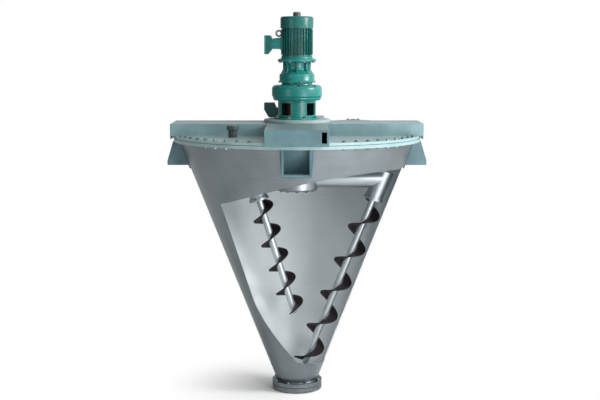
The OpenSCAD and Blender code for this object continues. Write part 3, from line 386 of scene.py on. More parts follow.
finishes |= {
    # Grey-teal machine enamel on the front beam, in a darker tone that paints shade on it
    "beam_paint": paint("Enamel_grey_teal", "#5b7c82", "#506f75", 0.38),
    # The cross beam and the back beam wear a paler copy of the same enamel, which paints the light from the right
    # on them
    "cross_paint": paint("Enamel_grey_teal_lit_copy", "#7d9b9f", "#6f8d92", 0.38),
    # The cover and its flange: the same enamel in a paler copy, which paints the light that falls on the cover's
    # top
    "cover_paint": paint("Enamel_grey_teal_lit_top", "#8da7a9", "#7f9b9e", 0.36),
    # Lugs wear a darker copy of the enamel, which paints the shade that falls on them under the rim
    "lug_paint": paint("Enamel_grey_teal_shaded", "#56767c", "#46626b", 0.42),
    # Glossy green-teal enamel over the smooth castings of the drive
    "drive_enamel": paint("Enamel_green_teal", "#0a7f79", "#076a65", 0.26, 6 * MM, 0.05 * MM, 0.05),
    # The motor comes in its maker's darker green, over a rougher casting
    "motor_enamel": paint("Enamel_motor_green", "#07605b", "#054d49", 0.28, 5 * MM, 0.06 * MM, 0.05),
    # Pale grey enamel of the round base plate
    "base_paint": paint("Enamel_pale_grey", "#9fadae", "#8d9b9d", 0.4),
    # Dark grey enamel of the manhole
    "manhole_paint": paint("Enamel_dark_grey", "#5b686b", "#48545a", 0.42),
    # Satin black on the spray nozzle
    "nozzle_black": paint("Enamel_satin_black", "#3f4b4d", "#313a3c", 0.45, dust=0.1),
    # The cap over the fan cowl
    "cap_paint": paint("Enamel_grey_cap", "#5a6365", "#454c4e", 0.4),
    # Sand-cast iron with a thin primer
    "case_iron": cast("Iron_cast_primed", "#5d6668", "#434a4c", 0.55),
    # Red oxide primer on the coupling halves, the warm tone behind the lantern's windows
    "coupling_iron": cast("Iron_cast_red_oxide", "#74382f", "#572a25", 0.5),
    # Rubber sheet, cut into gaskets
    "gasket_rubber": cast("Rubber_sheet", "#26282a", "#1b1d1e", 0.7, 2 * MM, 0.1 * MM),
    # Red moulded rubber of the coupling's spider
    "spider_rubber": cast("Rubber_moulded_red", "#a82f22", "#8b241a", 0.55, 2 * MM, 0.05 * MM),
    # Glass-filled nylon fan
    "fan_plastic": cast("Nylon_moulded_black", "#34383a", "#26292b", 0.5, 2 * MM, 0.05 * MM),
}
print("finishes:", len(finishes))

# %% [markdown]
# ## From a CAD solid to a plate or casting
# CAD gives every solid perfectly sharp edges, but no plate leaves a workshop like that: its edges
# are broken with a file or rounded by the mould and the paint, and each one catches a thin line of
# light. The mesh of a CAD node is loose triangles. A copy of it is merged, its flat faces become
# whole again, and a Bevel modifier rounds only the real edges. The new piece then stands for the
# node. Cutting the bevels by hand would mean the same work for every piece.

# %% Soft edges
MERGE = 0.02 * MM
SHARP = math.radians(30)
FLAT = math.radians(0.6)


def smooth(piece):
    """Smooths what is curved and keeps real edges sharp."""
    for polygon in piece.data.polygons:
        polygon.use_smooth = True
    piece.data.set_sharp_from_angle(angle=SHARP)
    return piece


def plain(piece):
    """Turns a piece with modifiers into a plain mesh."""
    bpy.context.view_layer.update()
    evaluated = piece.evaluated_get(bpy.context.evaluated_depsgraph_get())
    mesh = bpy.data.meshes.new_from_object(evaluated)
    piece.modifiers.clear()
    piece.data = mesh
    mesh.name = piece.name
    return piece


def merged_copy(node_name, flat=FLAT):
    """The mesh of a CAD node with its corners joined and its flat faces made whole."""
    mesh = bpy.data.meshes.new(node_name + "_dressed")
    bm = bmesh.new()
    bm.from_mesh(nodes[node_name].data)
    bmesh.ops.remove_doubles(bm, verts=bm.verts, dist=MERGE)
    bmesh.ops.dissolve_limit(bm, angle_limit=flat, verts=bm.verts, edges=bm.edges)
    bm.to_mesh(mesh)
    bm.free()
    return mesh


def soften(piece, edge, segments=2):
    """Rounds the real edges of a piece by this radius, and smooths what is curved."""
    bevel = smooth(piece).modifiers.new("broken_edges", "BEVEL")
    bevel.width = edge
    bevel.segments = segments
    bevel.limit_method = "ANGLE"
    bevel.angle_limit = SHARP
    bevel.harden_normals = True
    return plain(piece)


def seat(piece, body, slot, *stands_for):
    """The last calls for every piece: its body and the CAD nodes it stands for; the slot is not used."""
    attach(piece, body)
    if stands_for:
        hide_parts(*stands_for)
    print(piece.name, "faces:", len(piece.data.polygons))


def replace(node_name, piece):
    """Seats a piece on the body of the one CAD node that it stands for."""
    body = next(b for b, members in bodies.items() if node_name in members)
    seat(piece, body, slots[node_name], node_name)


bodies = frame["record"]["behaviour"]["bodies"]
slots = {part["node"]: part["material_slot"] for part in frame["record"]["subparts"]}
print("bodies:", {name: len(members) for name, members in bodies.items()})

# %% [markdown]
# ## Turned and lofted pieces
# Bolts, washers and round housings are turned, and fins, ribs and boxes are short lofts. One helper
# turns an outline of radius and height around an axis: with 6 sides it gives a hexagon, with 24 a
# round piece. An outline that starts and ends on the axis makes a solid, and one that keeps off
# the axis closes as a ring. The other helper joins loops of corners from a first face to a last.

# %% Turning and lofting


def rectangle(left, right, low, high):
    """The four corners of an upright rectangle."""
    return [(left, low), (right, low), (right, high), (left, high)]


def turn_outline(bm, outline, sides, place=IN_PLACE):
    """Turns an outline of (radius, height) points around Z."""
    rings = []
    for radius, height in outline:
        count = 1 if radius == 0 else sides
        angles = [2 * math.pi * i / sides for i in range(count)]
        points = [Vector((radius * math.cos(a), radius * math.sin(a), height)) for a in angles]
        rings.append([bm.verts.new(place @ p) for p in points])
    if outline[0][0] > 0:
        rings.append(rings[0])
    for lower, upper in zip(rings, rings[1:]):
        for i in range(sides):
            j = (i + 1) % sides
            corners = [lower[k % len(lower)] for k in (i, j)] + [upper[k % len(upper)] for k in (j, i)]
            corners = list(dict.fromkeys(corners))
            if len(corners) > 2:
                bm.faces.new(corners)


def turned(name, outline, finish, level=0.0):
    """A round piece from an outline in millimetres, lifted to its level."""
    mesh = mesh_from(name, lambda bm: turn_outline(bm, [(r * MM, z * MM) for r, z in outline], 96))
    mesh.transform(Matrix.Translation((0, 0, level)))
    return smooth(stand(name, mesh, finishes[finish]))


def arc(centre_r, centre_z, radius, first, last, steps=6):
    """Outline points on an arc, with angles in degrees from the outward direction."""
    angles = [math.radians(first + (last - first) * i / steps) for i in range(steps + 1)]
    return [(centre_r + radius * math.cos(a), centre_z + radius * math.sin(a)) for a in angles]


def loft(bm, loops):
    """Joins loops of as many corners each, and closes the first and the last with a face."""
    made = [[bm.verts.new(corner) for corner in loop] for loop in loops]
    for lower, upper in zip(made, made[1:]):
        for i in range(len(lower)):
            j = (i + 1) % len(lower)
            bm.faces.new([lower[i], lower[j], upper[j], upper[i]])
    bm.faces.new(made[0])
    bm.faces.new(made[-1])


def draw_slab(bm, outline, y_low, y_high):
    """A side outline of x and z made thick from y_low to y_high, all in millimetres."""
    loft(bm, [[Vector((x, y, z)) * MM for x, z in outline] for y in (y_low, y_high)])


def slab(name, outline, y_low, y_high, finish, edge, segments=3):
    """A slab with softly rounded edges."""
    mesh = mesh_from(name, lambda bm: draw_slab(bm, outline, y_low, y_high))
    return soften(stand(name, mesh, finishes[finish]), edge * MM, segments)


# %% [markdown]
# ## One tree for everything that stands in a circle
# Cover bolts, flange bolts, lid screws and cooling fins all stand in a circle around an axis. One
# Geometry Nodes tree repeats whatever mesh it is put on: it makes points, moves each to its angle,
# drops those that would stand under a beam, and puts a copy on each. A loop in Python would do the
# same, but here the count and the circle stay open to change. The tree ends in Realize Instances,
# because an export only keeps real faces.

# %% The circle tree


def new_tree(name, **wanted):
    """A Geometry Nodes tree with inputs of these kinds and names, and the sockets that give them."""
    tree = bpy.data.node_groups.new(name, "GeometryNodeTree")
    tree.interface.new_socket("Geometry", in_out="INPUT", socket_type="NodeSocketGeometry")
    for kind, labels in wanted.items():
        for label in labels:
            tree.interface.new_socket(label, in_out="INPUT", socket_type="NodeSocket" + kind)
    tree.interface.new_socket("Geometry", in_out="OUTPUT", socket_type="NodeSocketGeometry")
    return tree, add(tree, "NodeGroupInput").outputs


def close_tree(tree, geometry, finish):
    """Ends a tree in real faces with their finish."""
    real = add(tree, "GeometryNodeRealizeInstances", {0: geometry})
    painted = add(tree, "GeometryNodeSetMaterial", {"Geometry": real, "Material": finish})
    add(tree, "NodeGroupOutput", {0: painted})
    print(tree.name, "nodes:", len(tree.nodes))


def around(tree, turn, radius, height):
    """The place at this turn, radius and height about the vertical axis."""
    cosine = add(tree, MATH, {0: turn}, "COSINE")
    sine = add(tree, MATH, {0: turn}, "SINE")
    outward = add(tree, COMBINE, {0: cosine, 1: sine})
    ring = add(tree, VECTORS, {0: outward, "Scale": radius}, "SCALE")
    rise = add(tree, COMBINE, {2: height})
    return add(tree, VECTORS, {0: ring, 1: rise}, "ADD")


circle_tree, given = new_tree(
    "copies_in_a_circle",
    Int=["Count"],
    Float=["Circle radius", "First turn", "Height", "Keep clear"],
    Material=["Finish"],
)
tree = circle_tree
points = add(tree, "GeometryNodePoints", {"Count": given["Count"]})
index = add(tree, "GeometryNodeInputIndex")
step = add(tree, MATH, {0: 2 * math.pi, 1: given["Count"]}, "DIVIDE")
values = {0: index, 1: step, 2: given["First turn"]}
turn = add(tree, MATH, values, "MULTIPLY_ADD")
spot = around(tree, turn, given["Circle radius"], given["Height"])
placed = add(tree, "GeometryNodeSetPosition", {"Geometry": points, "Position": spot})
away = add(tree, VECTORS, {0: spot}, "ABSOLUTE")
away = add(tree, "ShaderNodeSeparateXYZ", {0: away}).outputs
nearest = add(tree, MATH, {0: away["X"], 1: away["Y"]}, "MINIMUM")
under = add(tree, "FunctionNodeCompare", {0: nearest, 1: given["Keep clear"]}, "LESS_THAN")
kept = add(tree, "GeometryNodeDeleteGeometry", {"Geometry": placed, "Selection": under}, domain="POINT")
facing = add(tree, COMBINE, {2: turn})
values = {"Points": kept, "Instance": given["Geometry"], "Rotation": facing}
close_tree(tree, add(tree, "GeometryNodeInstanceOnPoints", values), given["Finish"])

# %% Growing a mesh with a tree, and joining meshes


def grow(name, tree, mesh, finish, values):
    """Puts the tree on a mesh, sets its inputs by their identifiers, and keeps a plain mesh."""
    piece = stand(name, mesh)
    modifier = piece.modifiers.new(tree.name, "NODES")
    modifier.node_group = tree
    values = {"Finish": finishes[finish], **values}
    for item in tree.interface.items_tree:
        if item.item_type == "SOCKET" and item.in_out == "INPUT" and item.name in values:
            modifier[item.identifier] = values[item.name]
    worn = plain(piece).data.materials
    for i in reversed(range(len(worn))):
        if worn[i] is None:
            worn.pop(index=i)
    return piece


def join(name, pieces, place=IN_PLACE):
    """Several plain pieces made one mesh, moved to its place."""
    bm = bmesh.new()
    materials = []
    for piece in pieces:
        start = len(bm.faces)
        bm.from_mesh(piece.data)
        bm.faces.ensure_lookup_table()
        materials += [m for m in piece.data.materials if m not in materials]
        own = [materials.index(m) for m in piece.data.materials]
        for face in bm.faces[start:]:
            face.material_index = own[face.material_index]
        bpy.data.objects.remove(piece)
    mesh = bpy.data.meshes.new(name)
    bm.to_mesh(mesh)
    bm.free()
    mesh.transform(place)
    return stand(name, mesh, *materials)


# %% [markdown]
# ## Bolts
# The cover is held by bolts all around its rim, with their heads under the vessel flange and their
# nuts on top. A hexagon nut has its corners chamfered, sits on a washer, and lets a little thread
# stand out. The drive has plain hexagon heads in three circles: the column's foot, the reducer
# ring and the motor's flange.

# %% Bolt shapes
# Radii of the washer, hexagon and thread end, and the washer's height, as shares of the diameter
WASHER, WASHER_T = 1.12, 0.14
CORNER, CHAMFER = 0.981, 0.84
THREAD_TIP = 0.38
# The shares of their height at which the hexagon and the thread begin to narrow
NARROW_HEX, NARROW_THREAD = 0.8, 0.7


def draw_bolt(bm, d, height, thread=0.0, place=IN_PLACE):
    """A washer, a hexagon up to this height and, on a nut, the end of the thread."""
    base = WASHER_T * d
    turn_outline(bm, rectangle(0, WASHER * d, 0, base), 20, place)
    rim = [(CORNER * d, base), (CORNER * d, NARROW_HEX * height), (CHAMFER * d, height)]
    turn_outline(bm, [(0, base), *rim, (0, height)], 6, place)
    if thread:
        tip = height + thread
        rim = [(d / 2, height), (d / 2, height + NARROW_THREAD * thread), (THREAD_TIP * d, tip)]
        turn_outline(bm, [(0, height), *rim, (0, tip)], 12, place)


def bolt_circle(name, d, height, values, thread=0.0, place=IN_PLACE):
    """One circle of bolts, grown by the circle tree."""
    mesh = mesh_from(name, lambda bm: draw_bolt(bm, d, height, thread, place))
    return grow(name, circle_tree, mesh, "bolt_steel", values)


# %% [markdown]
# ## Screw flights
# A flight is a band of plate wound around its shaft like a ramp. Its shape follows one rule: for
# each turn it climbs by one pitch. So a straight line is cut into short steps, each step is moved
# out to the radius at the angle that its height asks for, and a flat outline is swept along the
# result. The normals are kept level, so the band stands straight out from the shaft. The welds that
# hold it follow the same rule closer to the shaft, and their radius swells and shrinks a little, as
# each drop of a weld does.

# %% A rope of drops for welds


def weld_rope(tree, path, radius, swing):
    """A weld bead: a rope whose radius swells and shrinks over every four steps of its path."""
    index = add(tree, "GeometryNodeInputIndex")
    beat = add(tree, MATH, {0: index, 1: math.pi / 2}, "MULTIPLY")
    swell = add(tree, MATH, {0: beat}, "SINE")
    swell = add(tree, MATH, {0: swell, 1: swing, 2: 1.0}, "MULTIPLY_ADD")
    rope = add(tree, "GeometryNodeSetCurveRadius", {"Curve": path, "Radius": swell})
    drop = add(tree, "GeometryNodeCurvePrimitiveCircle", {"Resolution": 6, "Radius": radius})
    values = {"Curve": rope, "Profile Curve": drop, "Fill Caps": True}
    return add(tree, "GeometryNodeCurveToMesh", values)


# %% The flight tree
flight_tree, given = new_tree(
    "screw_flight",
    Float=["Length", "Pitch", "Shaft radius", "Outer radius", "Thickness", "Edge", "Weld radius"],
    Int=["Steps per turn", "Ripples per turn"],
    Material=["Finish", "Weld finish"],
)
tree = flight_tree
inner, outer, thick = given["Shaft radius"], given["Outer radius"], given["Thickness"]
top = add(tree, COMBINE, {2: given["Length"]})
line = add(tree, "GeometryNodeCurvePrimitiveLine", {"End": top})
turns = add(tree, MATH, {0: given["Length"], 1: given["Pitch"]}, "DIVIDE")
place = add(tree, "GeometryNodeInputPosition")
height = add(tree, "ShaderNodeSeparateXYZ", {0: place}).outputs["Z"]
share = add(tree, MATH, {0: height, 1: given["Pitch"]}, "DIVIDE")
turn = add(tree, MATH, {0: share, 1: 2 * math.pi}, "MULTIPLY")


def wound(steps, radius, lift):
    """The line cut into steps and wound at this radius, lifted by this much."""
    count = add(tree, MATH, {0: turns, 1: steps, 2: 1.0}, "MULTIPLY_ADD")
    cut = add(tree, "GeometryNodeResampleCurve", {"Curve": line, "Count": count})
    level = add(tree, MATH, {0: height, 1: lift}, "ADD")
    spot = around(tree, turn, radius, level)
    return add(tree, "GeometryNodeSetPosition", {"Geometry": cut, "Position": spot})


total = add(tree, MATH, {0: inner, 1: outer}, "ADD")
middle = add(tree, MATH, {0: total, 1: 0.5}, "MULTIPLY")
width = add(tree, MATH, {0: outer, 1: inner}, "SUBTRACT")
half = add(tree, MATH, {0: thick, 1: 0.5}, "MULTIPLY")
path = wound(given["Steps per turn"], middle, half)
path = add(tree, "GeometryNodeSetCurveNormal", {"Curve": path}, mode="Z_UP")
outline = add(tree, "GeometryNodeCurvePrimitiveQuadrilateral", {"Width": width, "Height": thick})
values = {"Curve": outline, "Radius": given["Edge"], "Count": 2}
outline = add(tree, "GeometryNodeFilletCurve", values, mode="POLY")
values = {"Curve": path, "Profile Curve": outline, "Fill Caps": True}
band = add(tree, "GeometryNodeCurveToMesh", values)
band = add(tree, "GeometryNodeSetMaterial", {"Geometry": band, "Material": given["Finish"]})
drops = add(tree, MATH, {0: given["Ripples per turn"], 1: 4.0}, "MULTIPLY")
feet = [wound(drops, inner, lift) for lift in (0.0, thick)]
ropes = [weld_rope(tree, foot, given["Weld radius"], swing=0.18) for foot in feet]
both = add(tree, "GeometryNodeJoinGeometry", {0: ropes})
weld = add(tree, "GeometryNodeSetMaterial", {"Geometry": both, "Material": given["Weld finish"]})
whole = add(tree, "GeometryNodeJoinGeometry", {0: [band, weld]})
real = add(tree, "GeometryNodeRealizeInstances", {0: whole})
add(tree, "NodeGroupOutput", {0: add(tree, "GeometryNodeSetShadeSmooth", {"Geometry": real})})
print("flight tree nodes:", len(tree.nodes))

# %% [markdown]
# ## Plates, castings and boxes
# Most of the machine is plate and casting, so most nodes are dressed the same way and differ only
# in how far their edges are broken and in their finish. A table says both. Flame-cut plate keeps a
# small radius, a casting has a large one, and machined rims nearly none.

# %% Dressed nodes
DRESSED = [
    # a finish, and the nodes that wear it with the radius of their edges in millimetres
    ("cover_paint", {"vessel_flange": 1.5, "cover_plate": 2}),
    ("cross_paint", {"main_beam": 3}),
    ("beam_paint", {"front_beam": 3}),
    ("cross_paint", {"back_beam": 3}),
    ("lug_paint", {"lug_left": 2, "lug_right": 2, "lug_front": 2, "lug_back": 2}),
    ("outlet_steel", {"outlet_flange": 2, "outlet_ring": 2}),
    ("nozzle_black", {"spray_neck": 1, "spray_cap": 1.5}),
    ("manhole_paint", {"manhole_neck": 1.5, "manhole_cover": 1.5}),
    ("base_paint", {"drive_base": 3}),
    ("drive_enamel", {"drive_column": 2.5, "motor_flange": 3}),
    ("motor_enamel", {"fan_cowl": 0.8}),
    ("cap_paint", {"cowl_cap": 2}),
    ("drive_enamel", {"terminal_lid": 3}),
    ("case_iron", {"gear_case": 2}),
    ("motor_enamel", {"slew_motor": 2}),
    ("case_iron", {"bearing_sleeve": 2}),
    ("machined_steel", {"slew_tube": 1}),
    ("coupling_iron", {"coupling": 2}),
    ("arm_steel", {"hub_case": 3, "hub_cover": 3, "arm_long": 2, "arm_short": 2}),
    ("shaft_steel", {"screw_long": 0.5, "screw_short": 0.5}),
]
for finish, edges in DRESSED:
    for node_name, edge in edges.items():
        copy = stand(node_name + "_dressed", merged_copy(node_name), finishes[finish])
        replace(node_name, soften(copy, edge * MM))

# %% Nodes that only need their finish
PLAIN = {
    "gasket_rubber": ["cover_gasket", "outlet_gasket", "manhole_gasket"],
    "bolt_steel": ["manhole_pin", "lifting_eye"],
    "winding_copper": ["motor_stator"],
    "machined_steel": ["motor_rotor", "slew_bearings", "drive_shaft", "shaft_bearings"],
    "fan_plastic": ["motor_fan"],
    "gear_steel": ["slew_pinion", "slew_wheel", "arm_shaft_long", "arm_shaft_short"],
    "spider_rubber": ["coupling_spider"],
    "gear_brass": ["drive_bevel"],
}
for finish, names in PLAIN.items():
    for node_name in names:
        nodes[node_name].data.materials.clear()
        nodes[node_name].data.materials.append(finishes[finish])
print("plain nodes:", sum(len(names) for names in PLAIN.values()))

# %% [markdown]
# ## The vessel
# The cone is one rolled and welded sheet, but it wears three finishes: ground lines on the outside,
# a finer blasted skin on the powder side, and a bright edge where the window is cut. Its mesh
# already is the true shape, so the copy only sorts its faces. A face belongs to a side when all its
# corners lie on that side's cone, and what is left over is the cut edge.

# %% The cone with its three finishes
TOLERANCE = 0.6 * MM
cone_low, cone_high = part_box("cone_shell")
cone_points = [v.co for v in nodes["cone_shell"].data.vertices]
foot_reach = [math.hypot(p.x, p.y) for p in cone_points if p.z < cone_low.z + TOLERANCE]
top_reach = [math.hypot(p.x, p.y) for p in cone_points if p.z > cone_high.z - TOLERANCE]


def off_side(points, foot, top):
    """How far these points lie at most from the cone with these radii at its foot and top."""
    shares = [(p.z - cone_low.z) / (cone_high.z - cone_low.z) for p in points]
    return max(abs(math.hypot(p.x, p.y) - foot - s * (top - foot)) for p, s in zip(points, shares))


sides = [finishes[name] for name in ("vessel_outside", "vessel_inside", "cut_edge")]
vessel = stand("cone_dressed", merged_copy("cone_shell", 0.0), *sides)
corners = vessel.data.vertices
for polygon in vessel.data.polygons:
    points = [corners[i].co for i in polygon.vertices]
    outside = off_side(points, max(foot_reach), max(top_reach)) < TOLERANCE
    inside = off_side(points, min(foot_reach), min(top_reach)) < TOLERANCE
    polygon.material_index = 0 if outside else 1 if inside else 2
replace("cone_shell", smooth(vessel))
counts = [sum(p.material_index == i for p in vessel.data.polygons) for i in range(3)]
print("faces outside, inside and on the cut:", counts)

# %% [markdown]
# ## Bolts in their circles
# Every circle of bolts is one call of the circle tree. At the rim and the outlet the levels come
# from the CAD nodes, and the places under the beams stay free. The three circles of the drive
# differ only in numbers, so a table holds them.

# %% Cover, outlet and drive bolts
# The heights of a head, a nut and the thread that stands out of it, as shares of the diameter
HEAD, NUT, THREAD = 0.65, 0.8, 0.2
COVER_D = 12 * MM
OUTLET_D = 12.04 * MM
COVER = {"Count": 60, "Circle radius": 777.26 * MM, "First turn": math.radians(3), "Keep clear": 210.4 * MM}
OUTLET = {"Count": 8, "Circle radius": 149 * MM, "First turn": math.radians(22.5)}


def through_bolts(node_name, d, low, high, values):
    """Heads below, nuts above and plain shanks between them, as one piece."""
    below, above = {**values, "Height": low}, {**values, "Height": high}
    outline = rectangle(0, d / 2, 0, high - low)
    shank = mesh_from("shank", lambda bm: turn_outline(bm, outline, 12))
    heads = bolt_circle("heads", d, HEAD * d, below, place=DOWN)
    nuts = bolt_circle("nuts", d, NUT * d, above, THREAD * d)
    shanks = grow("shanks", circle_tree, shank, "bolt_steel", below)
    replace(node_name, join(node_name + "_dressed", [heads, nuts, shanks]))


flange_low, lid_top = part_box("vessel_flange")[0].z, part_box("cover_plate")[1].z
outlet_low, outlet_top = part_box("outlet_ring")[0].z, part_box("outlet_flange")[1].z
through_bolts("cover_bolts", COVER_D, flange_low, lid_top, COVER)
through_bolts("outlet_bolts", OUTLET_D, outlet_low, outlet_top, OUTLET)

DRIVE_CIRCLES = {
    # name: thread diameter, circle radius, first turn in degrees, level, way up
    "foot": (12 * MM, 135 * MM, 22.5, 304 * MM, IN_PLACE),
    "ring": (14 * MM, 142 * MM, 0, 496 * MM, IN_PLACE),
    "flange": (12 * MM, 112 * MM, 22.5, 662 * MM, DOWN),
}
circles = []
for name, (d, reach, first, level, place) in DRIVE_CIRCLES.items():
    values = {"Count": 8, "Circle radius": reach, "First turn": math.radians(first), "Height": level}
    circles.append(bolt_circle("drive_" + name, d, HEAD * d, values, place=place))
replace("drive_bolts", join("drive_bolts_dressed", circles))

# %% [markdown]
# ## The motor's finned frame
# A motor frame is cast: a thick drum with thin cooling fins that taper towards their tips, so that
# they leave the mould. A plain box fin would look punched, so here one tapered fin is drawn and
# the circle tree repeats it around the drum. The two ends are turned flat for the shields.

# %% Motor frame, in millimetres
CORE_R, BORE_R, SHAFT_ROOM = 92, 83, 15.3
SHIELD_R, SHIELD_T = 99.6, 12
FIN_COUNT, FIN_SINK, FIN_TIP_R = 32, 3, 103
FIN_ROOT, FIN_TIP, FIN_SLOPE = 5.4, 2.6, 6
BOSS_IN, BOSS_OUT, BOSS_W, BOSS_LIFT = 80, 106.4, 84, 44
motor_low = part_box("motor_flange")[1].z
motor_h = (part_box("motor_frame")[1].z - motor_low) / MM


def draw_fin(bm):
    """One cast fin: thick at its root, thin at its tip, with sloped ends."""
    root = (FIN_ROOT / 2, CORE_R - FIN_SINK, SHIELD_T)
    shoulder = (FIN_TIP / 2, FIN_TIP_R - FIN_TIP / 3, SHIELD_T + FIN_SLOPE * 0.7)
    tip = (FIN_TIP / 4, FIN_TIP_R, SHIELD_T + FIN_SLOPE)
    loops = []
    for half, reach, low in (root, shoulder, tip):
        corners = rectangle(-half, half, low, motor_h - low)
        loops.append([Vector((reach, y, z)) * MM for y, z in corners])
    loft(bm, loops)


rim = [(BORE_R, 0), (SHIELD_R, 0), (SHIELD_R, SHIELD_T - 1), (SHIELD_R - 1, SHIELD_T), (CORE_R, SHIELD_T)]
drum = turned("motor_drum", rim + [(r, motor_h - z) for r, z in reversed(rim)], "motor_enamel")
outline = rectangle(SHAFT_ROOM, BORE_R + 1, motor_h - SHIELD_T, motor_h - 1)
plate = turned("motor_plate", outline, "motor_enamel")
values = {"Count": FIN_COUNT, "First turn": math.pi / FIN_COUNT}
fins = grow("motor_fins", circle_tree, mesh_from("fin", draw_fin), "motor_enamel", values)
outline = rectangle(-BOSS_OUT, -BOSS_IN, BOSS_LIFT, BOSS_LIFT + BOSS_W)
boss = slab("motor_boss", outline, -BOSS_W / 2, BOSS_W / 2, "motor_enamel", 2, 2)
motor_place = Matrix.Translation((0, 0, motor_low))
replace("motor_frame", smooth(join("motor_frame_dressed", [drum, plate, fins, boss], motor_place)))

# %% [markdown]
# ## The flights on their shafts
# Each flight is one call of the flight tree, laid along its screw's own joint axis. The axis starts
# at the knuckle at the end of its arm. The welds are a separate finish: their beads stay brighter
# than the dark plate.

# %% Flights, in millimetres
ARM_Z = -95
KNUCKLE_X = {"long": 554.09, "short": -290}
FLIGHTS = {
    # side: foot below the knuckle, length, pitch, outer radius, turn of its foot in degrees
    "long": (1322.9, 1152, 240, 86, 16),
    "short": (926.2, 756, 168, 80, 73),
}
axes = {joint["name"]: Vector(joint["axis"]) for joint in frame["joints"]}


def knuckle(side):
    """The place of a knuckle, tilted with the joint axis of its screw."""
    axis = axes[side + "_screw_spin"]
    tilt = Matrix.Rotation(math.atan2(axis.x, axis.z), 4, "Y")
    return Matrix.Translation(Vector((KNUCKLE_X[side], 0, ARM_Z)) * MM) @ tilt


for side, (foot, length, pitch, reach, phase) in FLIGHTS.items():
    name = "flight_" + side
    place = knuckle(side) @ Matrix.Translation((0, 0, -foot * MM))
    place = place @ Matrix.Rotation(math.radians(phase - 360 * foot / pitch), 4, "Z")
    values = {
        "Length": length * MM,
        "Pitch": pitch * MM,
        "Shaft radius": 22 * MM,
        "Outer radius": reach * MM,
        "Thickness": 7.6 * MM,
        "Edge": 1.2 * MM,
        "Weld radius": 3.2 * MM,
        "Steps per turn": 60,
        "Ripples per turn": 30,
        "Weld finish": finishes["weld_steel"],
    }
    mesh = bpy.data.meshes.new(name)
    piece = grow(name + "_dressed", flight_tree, mesh, "flight_steel", values)
    piece.data.transform(place)
    replace(name, piece)

# %% [markdown]
# ## The castings of the drive
# A casting has no sharp corners: its shoulders are round, and every bolt head needs a flat spot to
# sit on. The CAD keeps these housings simple, so here each is turned again inside the room of its
# node. The reducer ring gets a round shoulder, and eight copies of a plug, placed by the circle
# tree, cut the flat spots out of it. The bell gets a slim neck with eight ribs. Half a ring of
# sheet stands in the lantern, so its windows look dark and not through to the other side.

# %% Reducer ring
SPOT_R = 18 * MM
SPOT_LIFT = 82 * MM
PLUG_H = 50 * MM
ring_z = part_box("reducer_ring")[0].z
outline = [(0, 30), (24.3, 30), (24.3, 0), (147, 0), (152, 4), (155, 10), (155, 19), (158, 23), (162, 29)]
outline += arc(136, 72, 26, 0, 90) + [(104, 98), (101, 99), (100, 102), (100, 112), (0, 112)]
ring = turned("reducer_ring_dressed", outline, "drive_enamel", ring_z)
outline = rectangle(0, SPOT_R, 0, PLUG_H)
plug = mesh_from("plug", lambda bm: turn_outline(bm, outline, 24))
values = {"Count": 8, "Circle radius": DRIVE_CIRCLES["ring"][1], "Height": ring_z + SPOT_LIFT}
plugs = grow("plugs", circle_tree, plug, "drive_enamel", values)
cut = ring.modifiers.new("flat_spots", "BOOLEAN")
cut.object = plugs
cut.solver = "EXACT"
replace("reducer_ring", smooth(plain(ring)))
bpy.data.objects.remove(plugs)

# %% Reducer bell
NECK_R = 73
RIB_T, RIB_EDGE = 8, 1.5
RIB = [(70, 56), (104, 60), (99, 68), (91, 82), (90, 134), (70, 134)]
outline = [(0, 0), (119, 0), (121, 2), (121, 8), (119, 10), (115, 11), (113, 14)]
outline += arc(105, 48, 8, 0, 50) + arc(NECK_R + 10, 86, 10, 230, 180) + [(NECK_R, 125), (NECK_R + 5, 134)]
outline += [(40, 134), (40, 58), (0, 58)]
bell = turned("reducer_bell_body", outline, "drive_enamel")
rib = mesh_from("rib", lambda bm: draw_slab(bm, RIB, -RIB_T / 2, RIB_T / 2))
ribs = soften(grow("bell_ribs", circle_tree, rib, "drive_enamel", {"Count": 8}), RIB_EDGE * MM)
bell_place = Matrix.Translation((0, 0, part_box("reducer_bell")[0].z))
replace("reducer_bell", smooth(join("reducer_bell_dressed", [bell, ribs], bell_place)))

# %% The shade sheet in the lantern
SHEET_IN, SHEET_OUT = 106 * MM, 108 * MM
SHEET_LOW, SHEET_HIGH = 14 * MM, 4 * MM
SHEET_FROM, SHEET_TURN, SHEET_STEPS = 5, 170, 40
column_low, column_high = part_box("drive_column")


def draw_shade_sheet(bm):
    """Half a ring of sheet, bent around the back of the coupling, so that the lantern's windows stay in shade."""
    corners = rectangle(SHEET_IN, SHEET_OUT, column_low.z + SHEET_LOW, column_high.z - SHEET_HIGH)
    turns = [SHEET_FROM + SHEET_TURN * i / SHEET_STEPS for i in range(SHEET_STEPS + 1)]
    angles = [math.radians(turn) for turn in turns]
    loft(bm, [[(r * math.cos(a), r * math.sin(a), z) for r, z in corners] for a in angles])


shade_sheet = stand("lantern_shade_sheet", mesh_from("lantern_shade_sheet", draw_shade_sheet), finishes["beam_paint"])
seat(smooth(shade_sheet), "root", slots["drive_column"])

# %% [markdown]
# ## The terminal box
# A terminal box is a casting, so its side outline is drawn once and made as wide as the box. Its
# underside slants up towards the neck, and its lid is held by screws in its corners.

# %% Terminal box and its lid
# Outlines, half widths and the places of the screws are in millimetres
BOX_SIDE = [(-197, 709), (-186, 709), (-158, 740), (-157, 748), (-157, 808), (-168, 829), (-197, 829)]
NECK_SIDE = [(-160, 743), (-104, 741), (-104, 816), (-160, 808)]
BOX_HALF, NECK_HALF = 58, 40
LID_SCREWS = [(48, 718), (48, 820), (-48, 718), (-48, 820)]
SCREW_D, SINK = 6 * MM, 2.4 * MM
